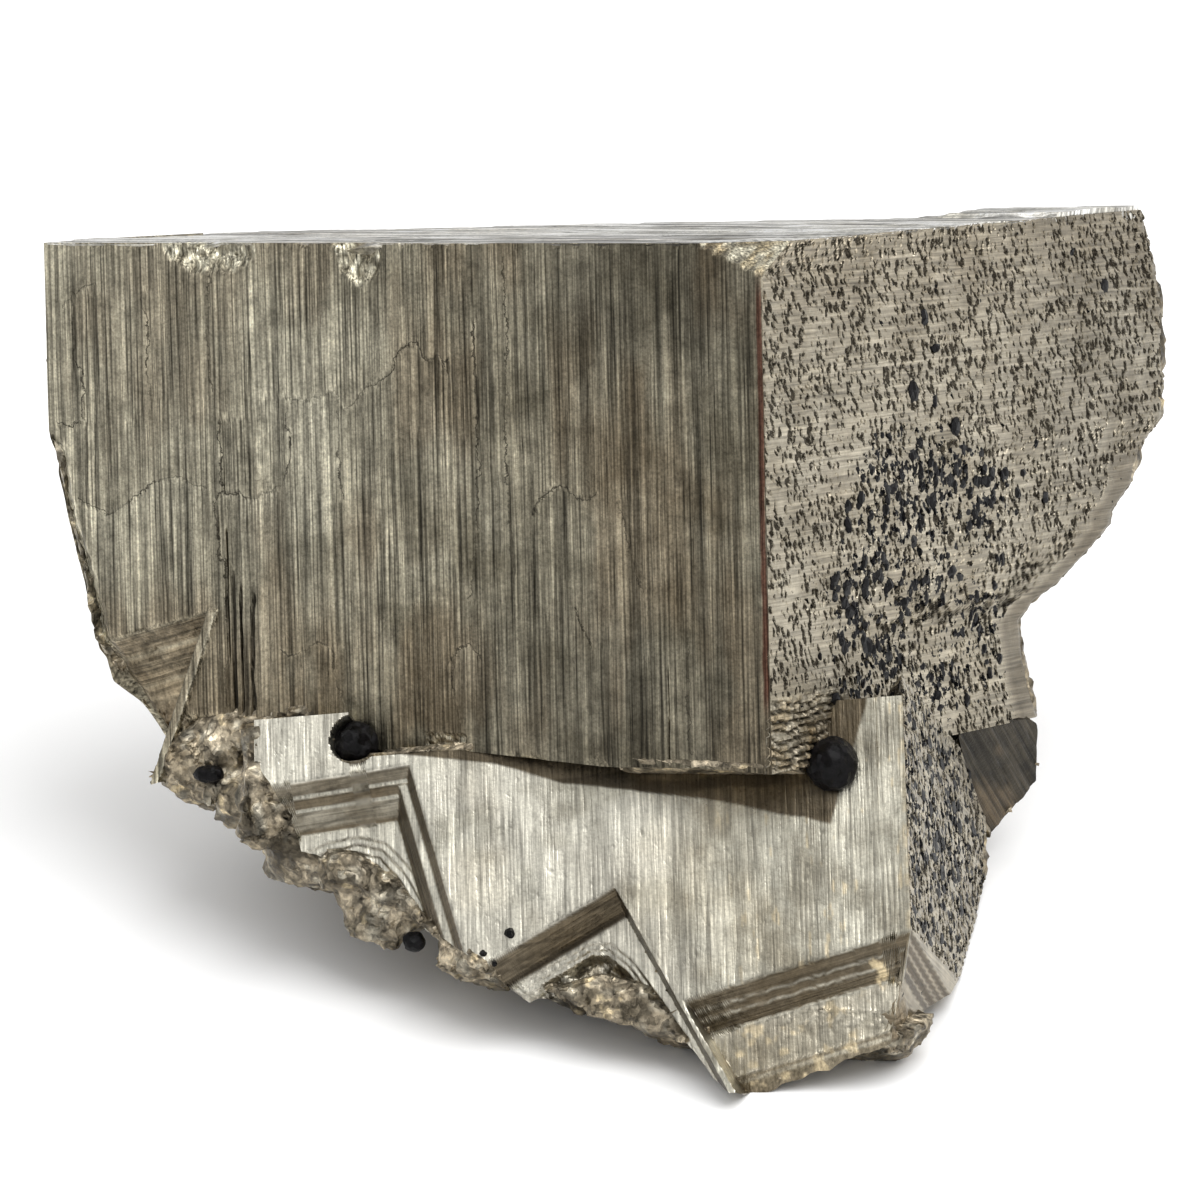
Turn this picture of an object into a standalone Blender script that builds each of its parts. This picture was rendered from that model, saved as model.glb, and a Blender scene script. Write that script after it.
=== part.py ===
"""Pyrite specimen: a large striated cube grown into a brighter tilted cube, with stepped ledges, a broken
underside and four small black crystals.

Crystal frames are in millimetres: X right along the front face, Y into the specimen, Z up. The large
crystal's frame starts at its near top corner. The finished part is in metres, leaning back as it rests.
"""
import math
import random

import bmesh
import bpy
from mathutils import Matrix, Vector

# Driving dimensions, millimetres and degrees
block_width = 88.4
block_depth = 89.0
block_height = 53.5
lower_right = 8.2
lower_left = -62.0
lower_top = 9.6
lower_bottom = -36.0
lower_depth = 46.0
lower_setback = 11.0
lower_turn = 17.5
lower_tip = 19.6
lower_roll = 4.8
lean_back = 18.9
lean_axis_turn = 31.5
rest_height = 83.4
ledge_wall_slope = 35.0
seat_gap = 0.3
pit_size = 0.75
pit_depth = 0.9
pit_rise = 0.15

mm = 0.001
reach = 200.0


def block_matrix():
    """The large crystal's frame in the world: leaning back, with the lowest tip on the floor."""
    turn = math.radians(lean_axis_turn)
    axis = Vector((math.cos(turn), math.sin(turn), 0.0))
    lean = Matrix.Rotation(-math.radians(lean_back), 4, axis)
    return Matrix.Translation((0, 0, rest_height * mm)) @ lean @ Matrix.Scale(mm, 4)


def lower_matrix():
    """The lower crystal's frame, starting where its front face passes under the block's near corner."""
    turn = Matrix.Rotation(math.radians(lower_turn), 4, "Z")
    tip = Matrix.Rotation(-math.radians(lower_tip), 4, "X")
    roll = Matrix.Rotation(-math.radians(lower_roll), 4, "Y")
    start = Matrix.Translation((0, lower_setback, -block_height))
    return block_frame @ start @ turn @ tip @ roll


def new_collection(name):
    collection = bpy.data.collections.new(name)
    bpy.context.scene.collection.children.link(collection)
    return collection


def new_object(name, bm, frame, collection):
    """Moves a mesh built in a crystal's frame into the world and makes it an object there."""
    bm.transform(frame)
    bmesh.ops.recalc_face_normals(bm, faces=bm.faces)
    mesh = bpy.data.meshes.new(name)
    bm.to_mesh(mesh)
    bm.free()
    obj = bpy.data.objects.new(name, mesh)
    collection.objects.link(obj)
    return obj


def hide_tool(obj):
    obj.hide_render = True
    obj.display_type = "WIRE"
    return obj


def slice_away(bm, point, normal):
    """Cuts off what lies beyond a plane and closes the cut of a convex solid."""
    geometry = bm.verts[:] + bm.edges[:] + bm.faces[:]
    cut = bmesh.ops.bisect_plane(
        bm, geom=geometry, dist=1e-5, plane_co=point, plane_no=normal, clear_outer=True
    )
    edges = [item for item in cut["geom_cut"] if isinstance(item, bmesh.types.BMEdge)]
    if len(edges) > 2:
        bmesh.ops.contextual_create(bm, geom=edges)


def box(low, high):
    bm = bmesh.new()
    bmesh.ops.create_cube(bm, size=1.0)
    low = Vector(low)
    high = Vector(high)
    place = Matrix.Translation((low + high) / 2) @ Matrix.Diagonal((high - low).to_4d())
    place[3][3] = 1.0
    bm.transform(place)
    return bm


def crystal(name, frame, low, high, cuts, collection):
    """A box in a crystal's frame, less what lies beyond each (point, outward normal) plane."""
    bm = box(low, high)
    for point, normal in cuts:
        slice_away(bm, Vector(point), Vector(normal))
    return new_object(name, bm, frame, collection)


def floor_block():
    """What lies under the floor, so that the specimen rests on small flats."""
    low = (-reach, -reach, -reach)
    return hide_tool(crystal("floor_block", Matrix.Scale(mm, 4), low, (reach, reach, 0), [], tools))


def rock(name, frame, centre, radii, seed, count=34):
    """A broken lump: the hull of seeded points near an ellipsoid."""
    dice = random.Random(seed)
    bm = bmesh.new()
    for _ in range(count):
        direction = Vector((dice.gauss(0, 1), dice.gauss(0, 1), dice.gauss(0, 1))).normalized()
        stretch = dice.uniform(0.86, 1.0)
        bm.verts.new(Vector(centre) + Vector(d * r * stretch for d, r in zip(direction, radii)))
    hull = bmesh.ops.convex_hull(bm, input=bm.verts[:])
    loose = [item for item in hull["geom_interior"] if isinstance(item, bmesh.types.BMVert)]
    bmesh.ops.delete(bm, geom=loose, context="VERTS")
    return hide_tool(new_object(name, bm, frame, tools))


def combine(target, tool, operation):
    join = target.modifiers.new(tool.name, "BOOLEAN")
    join.operation = operation
    join.solver = "EXACT"
    join.object = tool


def in_line(start, end, lean=ledge_wall_slope):
    """The outward normal of a ledge wall, off square to the face by the lean.

    The wall's top edge runs from start to end on the front face, with the ledge to its right.
    """
    run = Vector((end[0] - start[0], 0.0, end[1] - start[1])).normalized()
    aside = Vector((run.z, 0.0, -run.x))
    slope = math.radians(lean)
    return aside * math.cos(slope) + Vector((0, -1, 0)) * math.sin(slope)


def ledge(name, frame, corner, first_end, second_end, shift, floor, leans):
    """A cutter for one step: beyond two walls that meet at the corner, and in front of its floor.

    first_end and second_end lie on the walls' top edges, shift moves the corner into the ledge.
    """
    first_wall = in_line(first_end, corner, leans[0])
    second_wall = in_line(corner, second_end, leans[1])
    inward = (first_wall.xz + second_wall.xz).normalized() * shift
    point = Vector((corner[0] + inward[0], 0.0, corner[1] + inward[1]))
    bm = box((-reach, -reach, -reach), (reach, floor, reach))
    slice_away(bm, point, -first_wall)
    slice_away(bm, point, -second_wall)
    return hide_tool(new_object(name, bm, frame, tools))


def facets(centre, radius, stretch, seed, count=22):
    """A small crystal: a cube cut by seeded planes at about the same distance from its middle."""
    dice = random.Random(seed)
    middle = Vector(centre)
    half = Vector(stretch) * radius
    bm = box(middle - half, middle + half)
    for index in range(count):
        height = 1 - 2 * (index + 0.5) / count
        ring = math.sqrt(1 - height * height)
        angle = index * math.pi * (3 - math.sqrt(5)) + dice.uniform(-0.3, 0.3)
        normal = Vector((ring * math.cos(angle), ring * math.sin(angle), height))
        away = Vector(n * h for n, h in zip(normal, half)) * dice.uniform(0.86, 0.97)
        slice_away(bm, middle + away, normal)
    return bm


def black_crystal(name, frame, centre, radius, stretch, seed):
    """A black crystal and the cutter of its seat, larger by the gap."""
    whole = new_object(name, facets(centre, radius, stretch, seed), frame, parts)
    whole.data.materials.append(black_material)
    seat = facets(centre, radius + 2 * seat_gap, stretch, seed)
    return hide_tool(new_object(name + "_seat", seat, frame, tools))


def pits(name, frame, low, high, rows, columns, seed):
    """Small pits over the face X = low[0], as one cutter of separate stubby spindles."""
    dice = random.Random(seed)
    bm = bmesh.new()
    for row in range(rows):
        for column in range(columns):
            across = (column + dice.uniform(0.3, 0.7)) / columns
            upward = (row + dice.uniform(0.3, 0.7)) / rows
            place = Matrix.Translation((
                low[0] + pit_rise,
                low[1] + across * (high[1] - low[1]),
                low[2] + upward * (high[2] - low[2]),
            ))
            spin = Matrix.Rotation(dice.uniform(0, math.pi), 4, (0.4, 0.7, 0.6))
            shape = Matrix.Diagonal((pit_depth, pit_size, 1.5 * pit_size, 1.0))
            bmesh.ops.create_icosphere(bm, subdivisions=1, radius=1.0, matrix=place @ shape @ spin)
    return hide_tool(new_object(name, bm, frame, tools))


def principled(name, colour, roughness, metallic):
    material = bpy.data.materials.new(name)
    material.use_nodes = True
    shader = material.node_tree.nodes["Principled BSDF"]
    shader.inputs["Base Color"].default_value = (*colour, 1.0)
    shader.inputs["Roughness"].default_value = roughness
    shader.inputs["Metallic"].default_value = metallic
    return material


def large_block():
    """The large crystal: chipped near corner, broken left rim, back and far lower corner broken off."""
    cuts = [
        ((-7.5, 0, 0), (0.133, -0.167, 0.3125)),
        ((-88.6, 0, -24), (-0.97, 0.0, -0.245)),
        ((-87.3, 0, -24), (-0.72, -0.67, -0.18)),
        ((-81.4, 0, -48.7), (-0.77, 0.0, -0.64)),
        ((-88.2, 12, 0), (-0.96, 0.28, 0.03)),
        ((0, 84.4, -1.3), (0.1, 0.9, 0.43)),
    ]
    return crystal("pyrite", block_frame, (-block_width, 0, -block_height), (0, block_depth, 0), cuts, parts)


def back_break():
    """The missing back left of the block, behind two planes that meet in a hollow corner."""
    cuts = [((-24.5, 62, 0), (0.5, -0.86, 0.1)), ((-24.5, 62, 0), (0.74, -0.67, -0.08))]
    low = (-reach, 0, -reach)
    high = (reach, reach, reach)
    return hide_tool(crystal("back_break", block_frame, low, high, cuts, tools))


def break_far_corner(body):
    """Takes off the far lower corner of the block: under two slopes and behind a steep wall."""
    slopes = [((0, 89.4, -23.3), (0.0, -0.56, 0.83)), ((0, 69.6, -36.8), (0.0, -0.354, 0.935))]
    wall = ((0, 54, -42.7), (0.0, -0.93, -0.36))
    low = (-reach, 0, -reach)
    high = (reach, reach, reach)
    for index, slope in enumerate(slopes):
        tool = crystal(f"far_corner_{index}", block_frame, low, high, [slope, wall], tools)
        combine(body, hide_tool(tool), "DIFFERENCE")


def lower_crystal():
    """The tilted lower crystal with its foot, its underside sloping up to the left and the back."""
    cuts = [
        ((0, 28, -17), (0.0, 0.645, -0.765)),
        ((8.2, 19, -21.5), (0.242, 0.434, -0.868)),
        ((-62, 0, -1.5), (-0.56, 0.25, -0.79)),
        ((-11.9, 4, -32.4), (0.26, 0.15, -0.955)),
    ]
    low = (lower_left, 0, lower_bottom)
    high = (lower_right, lower_depth, lower_top)
    body = hide_tool(crystal("lower_crystal", lower_frame, low, high, cuts, tools))
    beside_foot = [((-41, 0, -17.0), (0.39, -0.22, 0.89)), ((-11.2, 0, -33.1), (0.88, -0.1, 0.457))]
    gap = crystal("beside_foot_gap", lower_frame, (-reach,) * 3, (reach,) * 3, beside_foot, tools)
    combine(body, hide_tool(gap), "DIFFERENCE")
    for index, (left, right, top) in enumerate([(-49.5, -31, 4.5), (-31.5, reach, 6.6)]):
        step = box((left, -reach, top), (right, reach, reach))
        combine(body, hide_tool(new_object(f"top_step_{index}", step, lower_frame, tools)), "DIFFERENCE")
    return body


def cut_ledges(body):
    """The stepped re-entrant ledges of the lower crystal, each with a corner pointing up and right."""
    corners = [
        ("left_ledge", (-43.9, 3.6), (-55.2, 2.7), (-39.1, -14.0), [(0.0, 2.2), (2.6, 4.4)], (35, 32)),
        ("middle_ledge", (-22.5, -11.1), (-33.9, -17.0), (-11.2, -33.1), [(0.0, 2.9)], (35, 12)),
    ]
    for name, corner, first_end, second_end, steps, leans in corners:
        for index, (shift, floor) in enumerate(steps):
            tool = ledge(f"{name}_{index}", lower_frame, corner, first_end, second_end, shift, floor, leans)
            combine(body, tool, "DIFFERENCE")
    for index, (drop, floor) in enumerate([(0.0, 2.0), (1.9, 3.9)]):
        corner = (lower_right - 0.5 * drop, -18.0 - drop)
        wall = in_line((-15.7, -23.5 - drop), corner)
        front = box((-reach, -reach, -reach), (reach, floor, reach))
        slice_away(front, Vector((corner[0], 0, corner[1])), -wall)
        combine(body, hide_tool(new_object(f"foot_ledge_{index}", front, lower_frame, tools)), "DIFFERENCE")
        side = box((corner[0] - 1.0, -reach, -reach), (reach, reach, reach))
        slice_away(side, Vector((corner[0], 0, corner[1])), Vector((-0.57, 0, 0.82)))
        combine(body, hide_tool(new_object(f"side_ledge_{index}", side, lower_frame, tools)), "DIFFERENCE")


def corner_ledge(body):
    """The stepped ledge in the large crystal's lower left corner, and the ridge along its right side."""
    for index, (shift, floor) in enumerate([(0.0, 2.4), (3.4, 4.6)]):
        tool = ledge(
            f"corner_ledge_{index}", block_frame, (-68.0, -38.6), (-81.8, -42.3), (-76.5, -58.2),
            shift, floor, (38, 14)
        )
        combine(body, tool, "DIFFERENCE")


def ridge():
    cuts = [
        ((-67.4, 0, -38.6), (0.9, -0.1, -0.42)),
        ((-68.6, 0, -39.2), (-0.9, -0.2, 0.42)),
        ((-67.8, -0.1, -38.6), (0.1, -0.97, 0.06)),
        ((-75.6, 0, -57.6), (-0.85, 0.1, -0.5)),
    ]
    low = (-78.0, -2.0, -58.6)
    high = (-64.0, 12.0, -38.6)
    return hide_tool(crystal("ridge", block_frame, low, high, cuts, tools))


def wedge():
    """The dark wedge crystal under the far end of the right face: a flat outline drawn back to a ridge."""
    outline = [
        (-2.7, 43.8, -53.9), (-5.5, 53.8, -63.6), (-6.5, 58.0, -66.9), (-4.0, 59.9, -64.0),
        (-1.9, 61.0, -61.2), (0.4, 56.9, -55.2), (0.7, 54.8, -53.2), (-0.2, 50.7, -53.1),
    ]
    bm = bmesh.new()
    for point in outline:
        bm.verts.new(point)
        bm.verts.new(Vector(point).lerp(Vector((-20.0, 46.0, -54.0)), 0.75))
    bmesh.ops.convex_hull(bm, input=bm.verts[:])
    return hide_tool(new_object("wedge", bm, block_frame, tools))


def broken_masses():
    """Broken rock between and under the crystals: (name, centre, radii, seed) in the block's frame."""
    masses = [
        ("rough_left", (-70.5, 4.5, -55.0), (7.6, 6.5, 7.2), 3),
        ("rough_left_low", (-65.5, 5.0, -58.4), (6.2, 6.0, 4.8), 8),
        ("knob", (-58.8, -5.0, -57.8), (4.2, 4.4, 6.2), 4),
        ("under_left_ledge", (-53.8, 1.0, -63.8), (9.8, 6.0, 6.5), 5),
        ("under_left_ledge_low", (-46.5, 1.2, -68.8), (7.6, 5.5, 5.5), 6),
        ("between_ledges", (-34.5, 1.5, -72.8), (7.0, 5.0, 5.4), 7),
        ("under_middle_ledge", (-24.5, 5.5, -76.2), (10.0, 5.5, 4.4), 9),
        ("beside_foot", (-14.5, 7.5, -79.4), (6.0, 5.5, 4.4), 10),
        ("foot", (0.0, 13.0, -80.8), (10.5, 8.0, 5.6), 11),
        ("foot_tip", (-4.4, 6.4, -83.4), (4.4, 4.6, 3.4), 12),
        ("base_left", (-57.0, 32.0, -57.5), (22.0, 20.0, 14.0), 13),
        ("base_middle", (-33.0, 34.0, -62.0), (26.0, 24.0, 15.0), 14),
        ("base_right", (-17.0, 39.0, -66.5), (14.0, 16.0, 15.0), 25),
        ("back_mass", (-42.0, 44.0, -38.0), (22.0, 14.0, 20.0), 16),
        ("back_left", (-62.0, 34.0, -22.0), (17.0, 9.5, 17.0), 17),
        ("back_high", (-36.0, 50.5, -15.0), (13.0, 7.5, 11.0), 18),
        ("back_right", (-13.0, 67.0, -22.0), (9.0, 12.0, 16.0), 19),
    ]
    return [rock(name, block_frame, centre, radii, seed) for name, centre, radii, seed in masses]


def centre_on_floor():
    """Moves everything so that the part's box stands centred on the origin."""
    depsgraph = bpy.context.evaluated_depsgraph_get()
    corners = []
    for obj in parts.objects:
        mesh = obj.evaluated_get(depsgraph).to_mesh()
        corners.extend(obj.matrix_world @ vertex.co for vertex in mesh.vertices)
    middle_x = (min(c.x for c in corners) + max(c.x for c in corners)) / 2
    middle_y = (min(c.y for c in corners) + max(c.y for c in corners)) / 2
    lowest = min(c.z for c in corners)
    move = Matrix.Translation((-middle_x, -middle_y, -lowest))
    for obj in list(parts.objects) + list(tools.objects):
        obj.data.transform(move)
        obj.data.update()


for old in list(bpy.data.objects):
    bpy.data.objects.remove(old, do_unlink=True)
parts = new_collection("pyrite_specimen")
tools = new_collection("pyrite_specimen_tools")
block_frame = block_matrix()
lower_frame = lower_matrix()
pyrite_material = principled("pyrite", (0.36, 0.33, 0.27), 0.38, 0.9)
black_material = principled("black_crystal", (0.012, 0.012, 0.014), 0.3, 0.0)

pyrite = large_block()
pyrite.data.materials.append(pyrite_material)
combine(pyrite, back_break(), "DIFFERENCE")
break_far_corner(pyrite)
corner_ledge(pyrite)
lower = lower_crystal()
cut_ledges(lower)
combine(pyrite, lower, "UNION")
combine(pyrite, ridge(), "UNION")
combine(pyrite, wedge(), "UNION")
for mass in broken_masses():
    combine(pyrite, mass, "UNION")
combine(pyrite, pits("face_pits", block_frame, (0, 14, -46), (0, 70, -6), 7, 11, 21), "DIFFERENCE")
combine(pyrite, pits("side_pits", lower_frame, (lower_right, 3, -14), (lower_right, 22, 4), 4, 5, 22),
        "DIFFERENCE")
seats = [
    black_crystal("black_left", block_frame, (-49.4, -1.2, -52.2), 2.45, (1, 1, 1), 31),
    black_crystal("black_right", lower_frame, (0.7, -0.7, -0.3), 2.75, (1, 1, 1.04), 32),
    black_crystal("black_hollow", block_frame, (-67.9, -1.4, -56.0), 1.0, (1.9, 1.2, 1), 33),
    black_crystal("black_small", block_frame, (-41.4, -3.2, -72.2), 1.15, (1.1, 1, 1), 34),
]
for seat in seats:
    combine(pyrite, seat, "DIFFERENCE")
combine(pyrite, floor_block(), "DIFFERENCE")
centre_on_floor()
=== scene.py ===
import math
import bpy
import bmesh
import numpy as np
from mathutils import Matrix, Vector


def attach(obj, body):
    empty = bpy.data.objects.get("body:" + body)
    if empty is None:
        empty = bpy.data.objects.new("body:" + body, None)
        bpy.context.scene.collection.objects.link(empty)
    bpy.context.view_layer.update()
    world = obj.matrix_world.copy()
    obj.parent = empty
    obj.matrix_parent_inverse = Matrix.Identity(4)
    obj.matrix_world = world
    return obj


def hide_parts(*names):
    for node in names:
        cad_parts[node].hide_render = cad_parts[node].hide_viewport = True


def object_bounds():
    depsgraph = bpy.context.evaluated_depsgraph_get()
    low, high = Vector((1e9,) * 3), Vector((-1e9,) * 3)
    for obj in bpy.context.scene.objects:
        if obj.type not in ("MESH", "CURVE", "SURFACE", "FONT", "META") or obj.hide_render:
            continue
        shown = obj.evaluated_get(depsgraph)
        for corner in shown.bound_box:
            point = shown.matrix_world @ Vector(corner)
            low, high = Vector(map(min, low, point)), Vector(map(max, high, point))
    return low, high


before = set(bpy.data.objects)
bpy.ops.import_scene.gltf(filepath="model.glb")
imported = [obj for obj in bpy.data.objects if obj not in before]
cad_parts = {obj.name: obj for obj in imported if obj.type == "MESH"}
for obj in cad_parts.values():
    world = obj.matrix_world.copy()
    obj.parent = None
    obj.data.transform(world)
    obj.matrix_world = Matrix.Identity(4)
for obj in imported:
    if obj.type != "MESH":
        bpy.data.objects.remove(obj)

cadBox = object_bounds()
print("frame loaded")

# The specimen is measured in millimetres in two frames, as in the CAD source.
# Block frame: x right along the large crystal's front face, y into it, z up, from its near top corner.
# Lower frame: the tilted lower crystal's front face, with its own across, inward and up.
placeValues = {
    "tipAngle": -18.9,        # how far the large crystal leans, in degrees
    "tipAxisAngle": 31.5,
    "cornerHeight": 0.0834,   # metres from the table to the near top corner
    "move": (0.03187209, -0.02745223, 0.0),
    "setBack": 11.0,          # the lower face's distance behind the front face
    "blockHeight": 53.5,
    "lowerTurns": (17.5, -19.6, -4.8),
}
tipAxis = math.radians(placeValues["tipAxisAngle"])
blockFrame = (
    Matrix.Translation(placeValues["move"])
    @ Matrix.Translation((0, 0, placeValues["cornerHeight"]))
    @ Matrix.Rotation(math.radians(placeValues["tipAngle"]), 4, (math.cos(tipAxis), math.sin(tipAxis), 0))
    @ Matrix.Scale(0.001, 4)
)
lowerTurns = [math.radians(angle) for angle in placeValues["lowerTurns"]]
lowerFrame = (
    blockFrame
    @ Matrix.Translation((0, placeValues["setBack"], -placeValues["blockHeight"]))
    @ Matrix.Rotation(lowerTurns[0], 4, "Z")
    @ Matrix.Rotation(lowerTurns[1], 4, "X")
    @ Matrix.Rotation(lowerTurns[2], 4, "Y")
)
blockCorner = blockFrame @ Vector((0, 0, 0))


def placed(points, matrix):
    # Each point times the matrix: from a frame to the world, or back by the inverse.
    m = np.array(matrix)
    return points @ m[:3, :3].T + m[:3, 3]


def insideBox(points):
    # Points held inside the CAD box.
    return np.clip(points, np.array(cadBox[0]), np.array(cadBox[1]))


# Random curves on grids

def smoothRandom(a, b, seed):
    # Random values at whole numbers of a and b, joined by the smooth curve 3t^2 - 2t^3.
    table = np.random.RandomState(seed).rand(256, 256)
    i, j = np.floor(a).astype(int), np.floor(b).astype(int)
    s, t = a - i, b - j
    s, t = s * s * (3 - 2 * s), t * t * (3 - 2 * t)
    i0, i1, j0, j1 = i & 255, (i + 1) & 255, j & 255, (j + 1) & 255
    low = table[i0, j0] * (1 - s) + table[i1, j0] * s
    high = table[i0, j1] * (1 - s) + table[i1, j1] * s
    return low * (1 - t) + high * t


def roughRandom(a, b, seed, layers=3):
    # Smooth random values, each layer twice as fine and half as strong as the one before, 0 to 1.
    total, weight = 0, 0
    for layer in range(layers):
        total = total + smoothRandom(a * 2 ** layer, b * 2 ** layer, seed + 17 * layer) / 2 ** layer
        weight += 1 / 2 ** layer
    return total / weight


def solidRandom(p, seed):
    # Random values at whole points of space, joined along x, y and z by 3t^2 - 2t^3.
    table = np.random.RandomState(seed).rand(64, 64, 64)
    base = np.floor(p).astype(int)
    t = p - base
    t = t * t * (3 - 2 * t)
    total = 0
    for dx in (0, 1):
        for dy in (0, 1):
            for dz in (0, 1):
                weight = (t[:, 0] if dx else 1 - t[:, 0]) * (t[:, 1] if dy else 1 - t[:, 1])
                weight = weight * (t[:, 2] if dz else 1 - t[:, 2])
                i, j, k = ((base + (dx, dy, dz)) & 63).T
                total = total + weight * table[i, j, k]
    return total


def crumble(p, size, seed):
    # Broken facets: each point takes the tilted plane of the nearest of one random point per cell.
    dice = np.random.RandomState(seed)
    jitter, tilt = dice.rand(32, 32, 32, 3), dice.uniform(-1, 1, (32, 32, 32, 3))
    q = p / size
    base = np.floor(q).astype(int)
    best, height = np.full(len(q), 9.0), np.zeros(len(q))
    for dx in (-1, 0, 1):
        for dy in (-1, 0, 1):
            for dz in (-1, 0, 1):
                cell = base + (dx, dy, dz)
                k = cell & 31
                away = q - cell - jitter[k[:, 0], k[:, 1], k[:, 2]]
                far = (away ** 2).sum(1)
                level = (away * tilt[k[:, 0], k[:, 1], k[:, 2]]).sum(1)
                height = np.where(far < best, level, height)
                best = np.minimum(far, best)
    return height


def soft(value, low, high):
    # 0 below low, 1 above high, and 3t^2 - 2t^3 between.
    t = np.clip((value - low) / (high - low), 0, 1)
    return t * t * (3 - 2 * t)


def pitField(a, b, seed, size=(1.3, 1.0), share=0.7, small=0.5):
    # Each size[0] by size[1] cell may hold one oval pit: 1 at its middle, 0 at its rim, below 0 outside.
    dice = np.random.RandomState(seed)
    table = dice.rand(128, 128, 5)
    p, q = a / size[0], b / size[1]
    i, j = np.floor(p).astype(int), np.floor(q).astype(int)
    found = np.full(a.shape, -3.0)
    for di in (-1, 0, 1):
        for dj in (-1, 0, 1):
            cell = table[(i + di) & 127, (j + dj) & 127]
            x = p - (i + di) - 0.2 - 0.6 * cell[..., 0]
            y = q - (j + dj) - 0.2 - 0.6 * cell[..., 1]
            lean = (cell[..., 4] - 0.5) * 0.9
            radius = small * (0.45 + 0.75 * cell[..., 2]) * (cell[..., 3] < share)
            far = np.sqrt(((x - lean * y) * 1.25) ** 2 + (y * 0.8) ** 2)
            found = np.maximum(found, 1 - far / np.maximum(radius, 0.01))
    return found


def sideOf(a, b, points):
    # Signed distance to an open line through points: positive on the right of its direction.
    best, sign = np.full(np.shape(a), 1e9), np.ones(np.shape(a))
    for (x0, y0), (x1, y1) in zip(points[:-1], points[1:]):
        dx, dy = x1 - x0, y1 - y0
        t = np.clip(((a - x0) * dx + (b - y0) * dy) / (dx * dx + dy * dy), 0, 1)
        far = np.hypot(a - x0 - t * dx, b - y0 - t * dy)
        cross = (a - x0) * dy - (b - y0) * dx
        sign = np.where(far < best - 1e-9, np.where(cross >= 0, 1, -1), sign)
        best = np.minimum(far, best)
    return best * sign


def pastLine(a, b, start, end):
    # Distance to the right of the endless straight line from start to end.
    length = math.hypot(end[0] - start[0], end[1] - start[1])
    return ((a - start[0]) * (end[1] - start[1]) - (b - start[1]) * (end[0] - start[0])) / length


# Meshes

def newPiece(name, points, triangles, marks, nodes, material, sharpAngle=38):
    # A closed mesh from arrays, with its marks as point attributes.
    mesh = bpy.data.meshes.new(name)
    mesh.vertices.add(len(points))
    mesh.vertices.foreach_set("co", np.ascontiguousarray(points, dtype=np.float32).ravel())
    mesh.loops.add(3 * len(triangles))
    mesh.loops.foreach_set("vertex_index", np.ascontiguousarray(triangles, dtype=np.int32).ravel())
    mesh.polygons.add(len(triangles))
    mesh.polygons.foreach_set("loop_start", np.arange(0, 3 * len(triangles), 3, dtype=np.int32))
    mesh.update(calc_edges=True)
    mesh.validate()
    for key, values in marks.items():
        kind = "FLOAT_VECTOR" if values.ndim == 2 else "FLOAT"
        attribute = mesh.attributes.new(key, kind, "POINT")
        field = "vector" if values.ndim == 2 else "value"
        attribute.data.foreach_set(field, np.ascontiguousarray(values, dtype=np.float32).ravel())
    mesh.shade_smooth()
    if sharpAngle:
        mesh.set_sharp_from_angle(angle=math.radians(sharpAngle))
    piece = bpy.data.objects.new(name, mesh)
    bpy.context.scene.collection.objects.link(piece)
    mesh.materials.append(material)
    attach(piece, "root")
    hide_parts(*nodes)
    print(name, len(triangles), "triangles")
    return piece


def stitch(fine, coarse, flip):
    # Triangles between a fine line of points and a coarse one along it.
    step = (len(fine) - 1) // (len(coarse) - 1)
    fans = np.stack([fine[:-1], fine[1:], np.repeat(coarse[:-1], step)], 1)
    joins = np.stack([fine[step::step], coarse[1:], coarse[:-1]], 1)
    made = np.concatenate([fans, joins])
    return made[:, ::-1] if flip else made


def sheetMesh(front, inward, depth, thickness, inset, stride=8):
    # A closed sheet: the front grid, a coarse back behind the deepest depth near it, and joined borders.
    rows, columns = depth.shape
    coarseRows, coarseColumns = (rows - 1) // stride + 1, (columns - 1) // stride + 1
    i = np.round(np.linspace(inset[0], rows - 1 - inset[0], coarseRows)).astype(int)
    j = np.round(np.linspace(inset[1], columns - 1 - inset[1], coarseColumns)).astype(int)
    padded = np.pad(depth, stride, mode="edge")
    deepest = depth[np.ix_(i, j)]
    for di in range(0, 2 * stride + 1, 2):
        for dj in range(0, 2 * stride + 1, 2):
            deepest = np.maximum(deepest, padded[np.ix_(i + di, j + dj)])
    drop = deepest - depth[np.ix_(i, j)] + thickness
    back = front[np.ix_(i, j)] + drop[..., None] * inward
    ids = np.arange(rows * columns).reshape(rows, columns)
    backIds = rows * columns + np.arange(coarseRows * coarseColumns).reshape(coarseRows, coarseColumns)

    def faces(g, flip):
        # Two triangles for each square of a grid of point numbers.
        a, b, c, d = g[:-1, :-1].ravel(), g[:-1, 1:].ravel(), g[1:, 1:].ravel(), g[1:, :-1].ravel()
        made = np.concatenate([np.stack([a, b, c], 1), np.stack([a, c, d], 1)])
        return made[:, ::-1] if flip else made

    triangles = np.concatenate([
        faces(ids, False),
        faces(backIds, True),
        stitch(ids[0], backIds[0], True),
        stitch(ids[-1], backIds[-1], False),
        stitch(ids[:, 0], backIds[:, 0], False),
        stitch(ids[:, -1], backIds[:, -1], True),
    ])
    picked = np.concatenate([ids.ravel(), ids[np.ix_(i, j)].ravel()])
    return np.concatenate([front.reshape(-1, 3), back.reshape(-1, 3)]), triangles, picked


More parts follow.
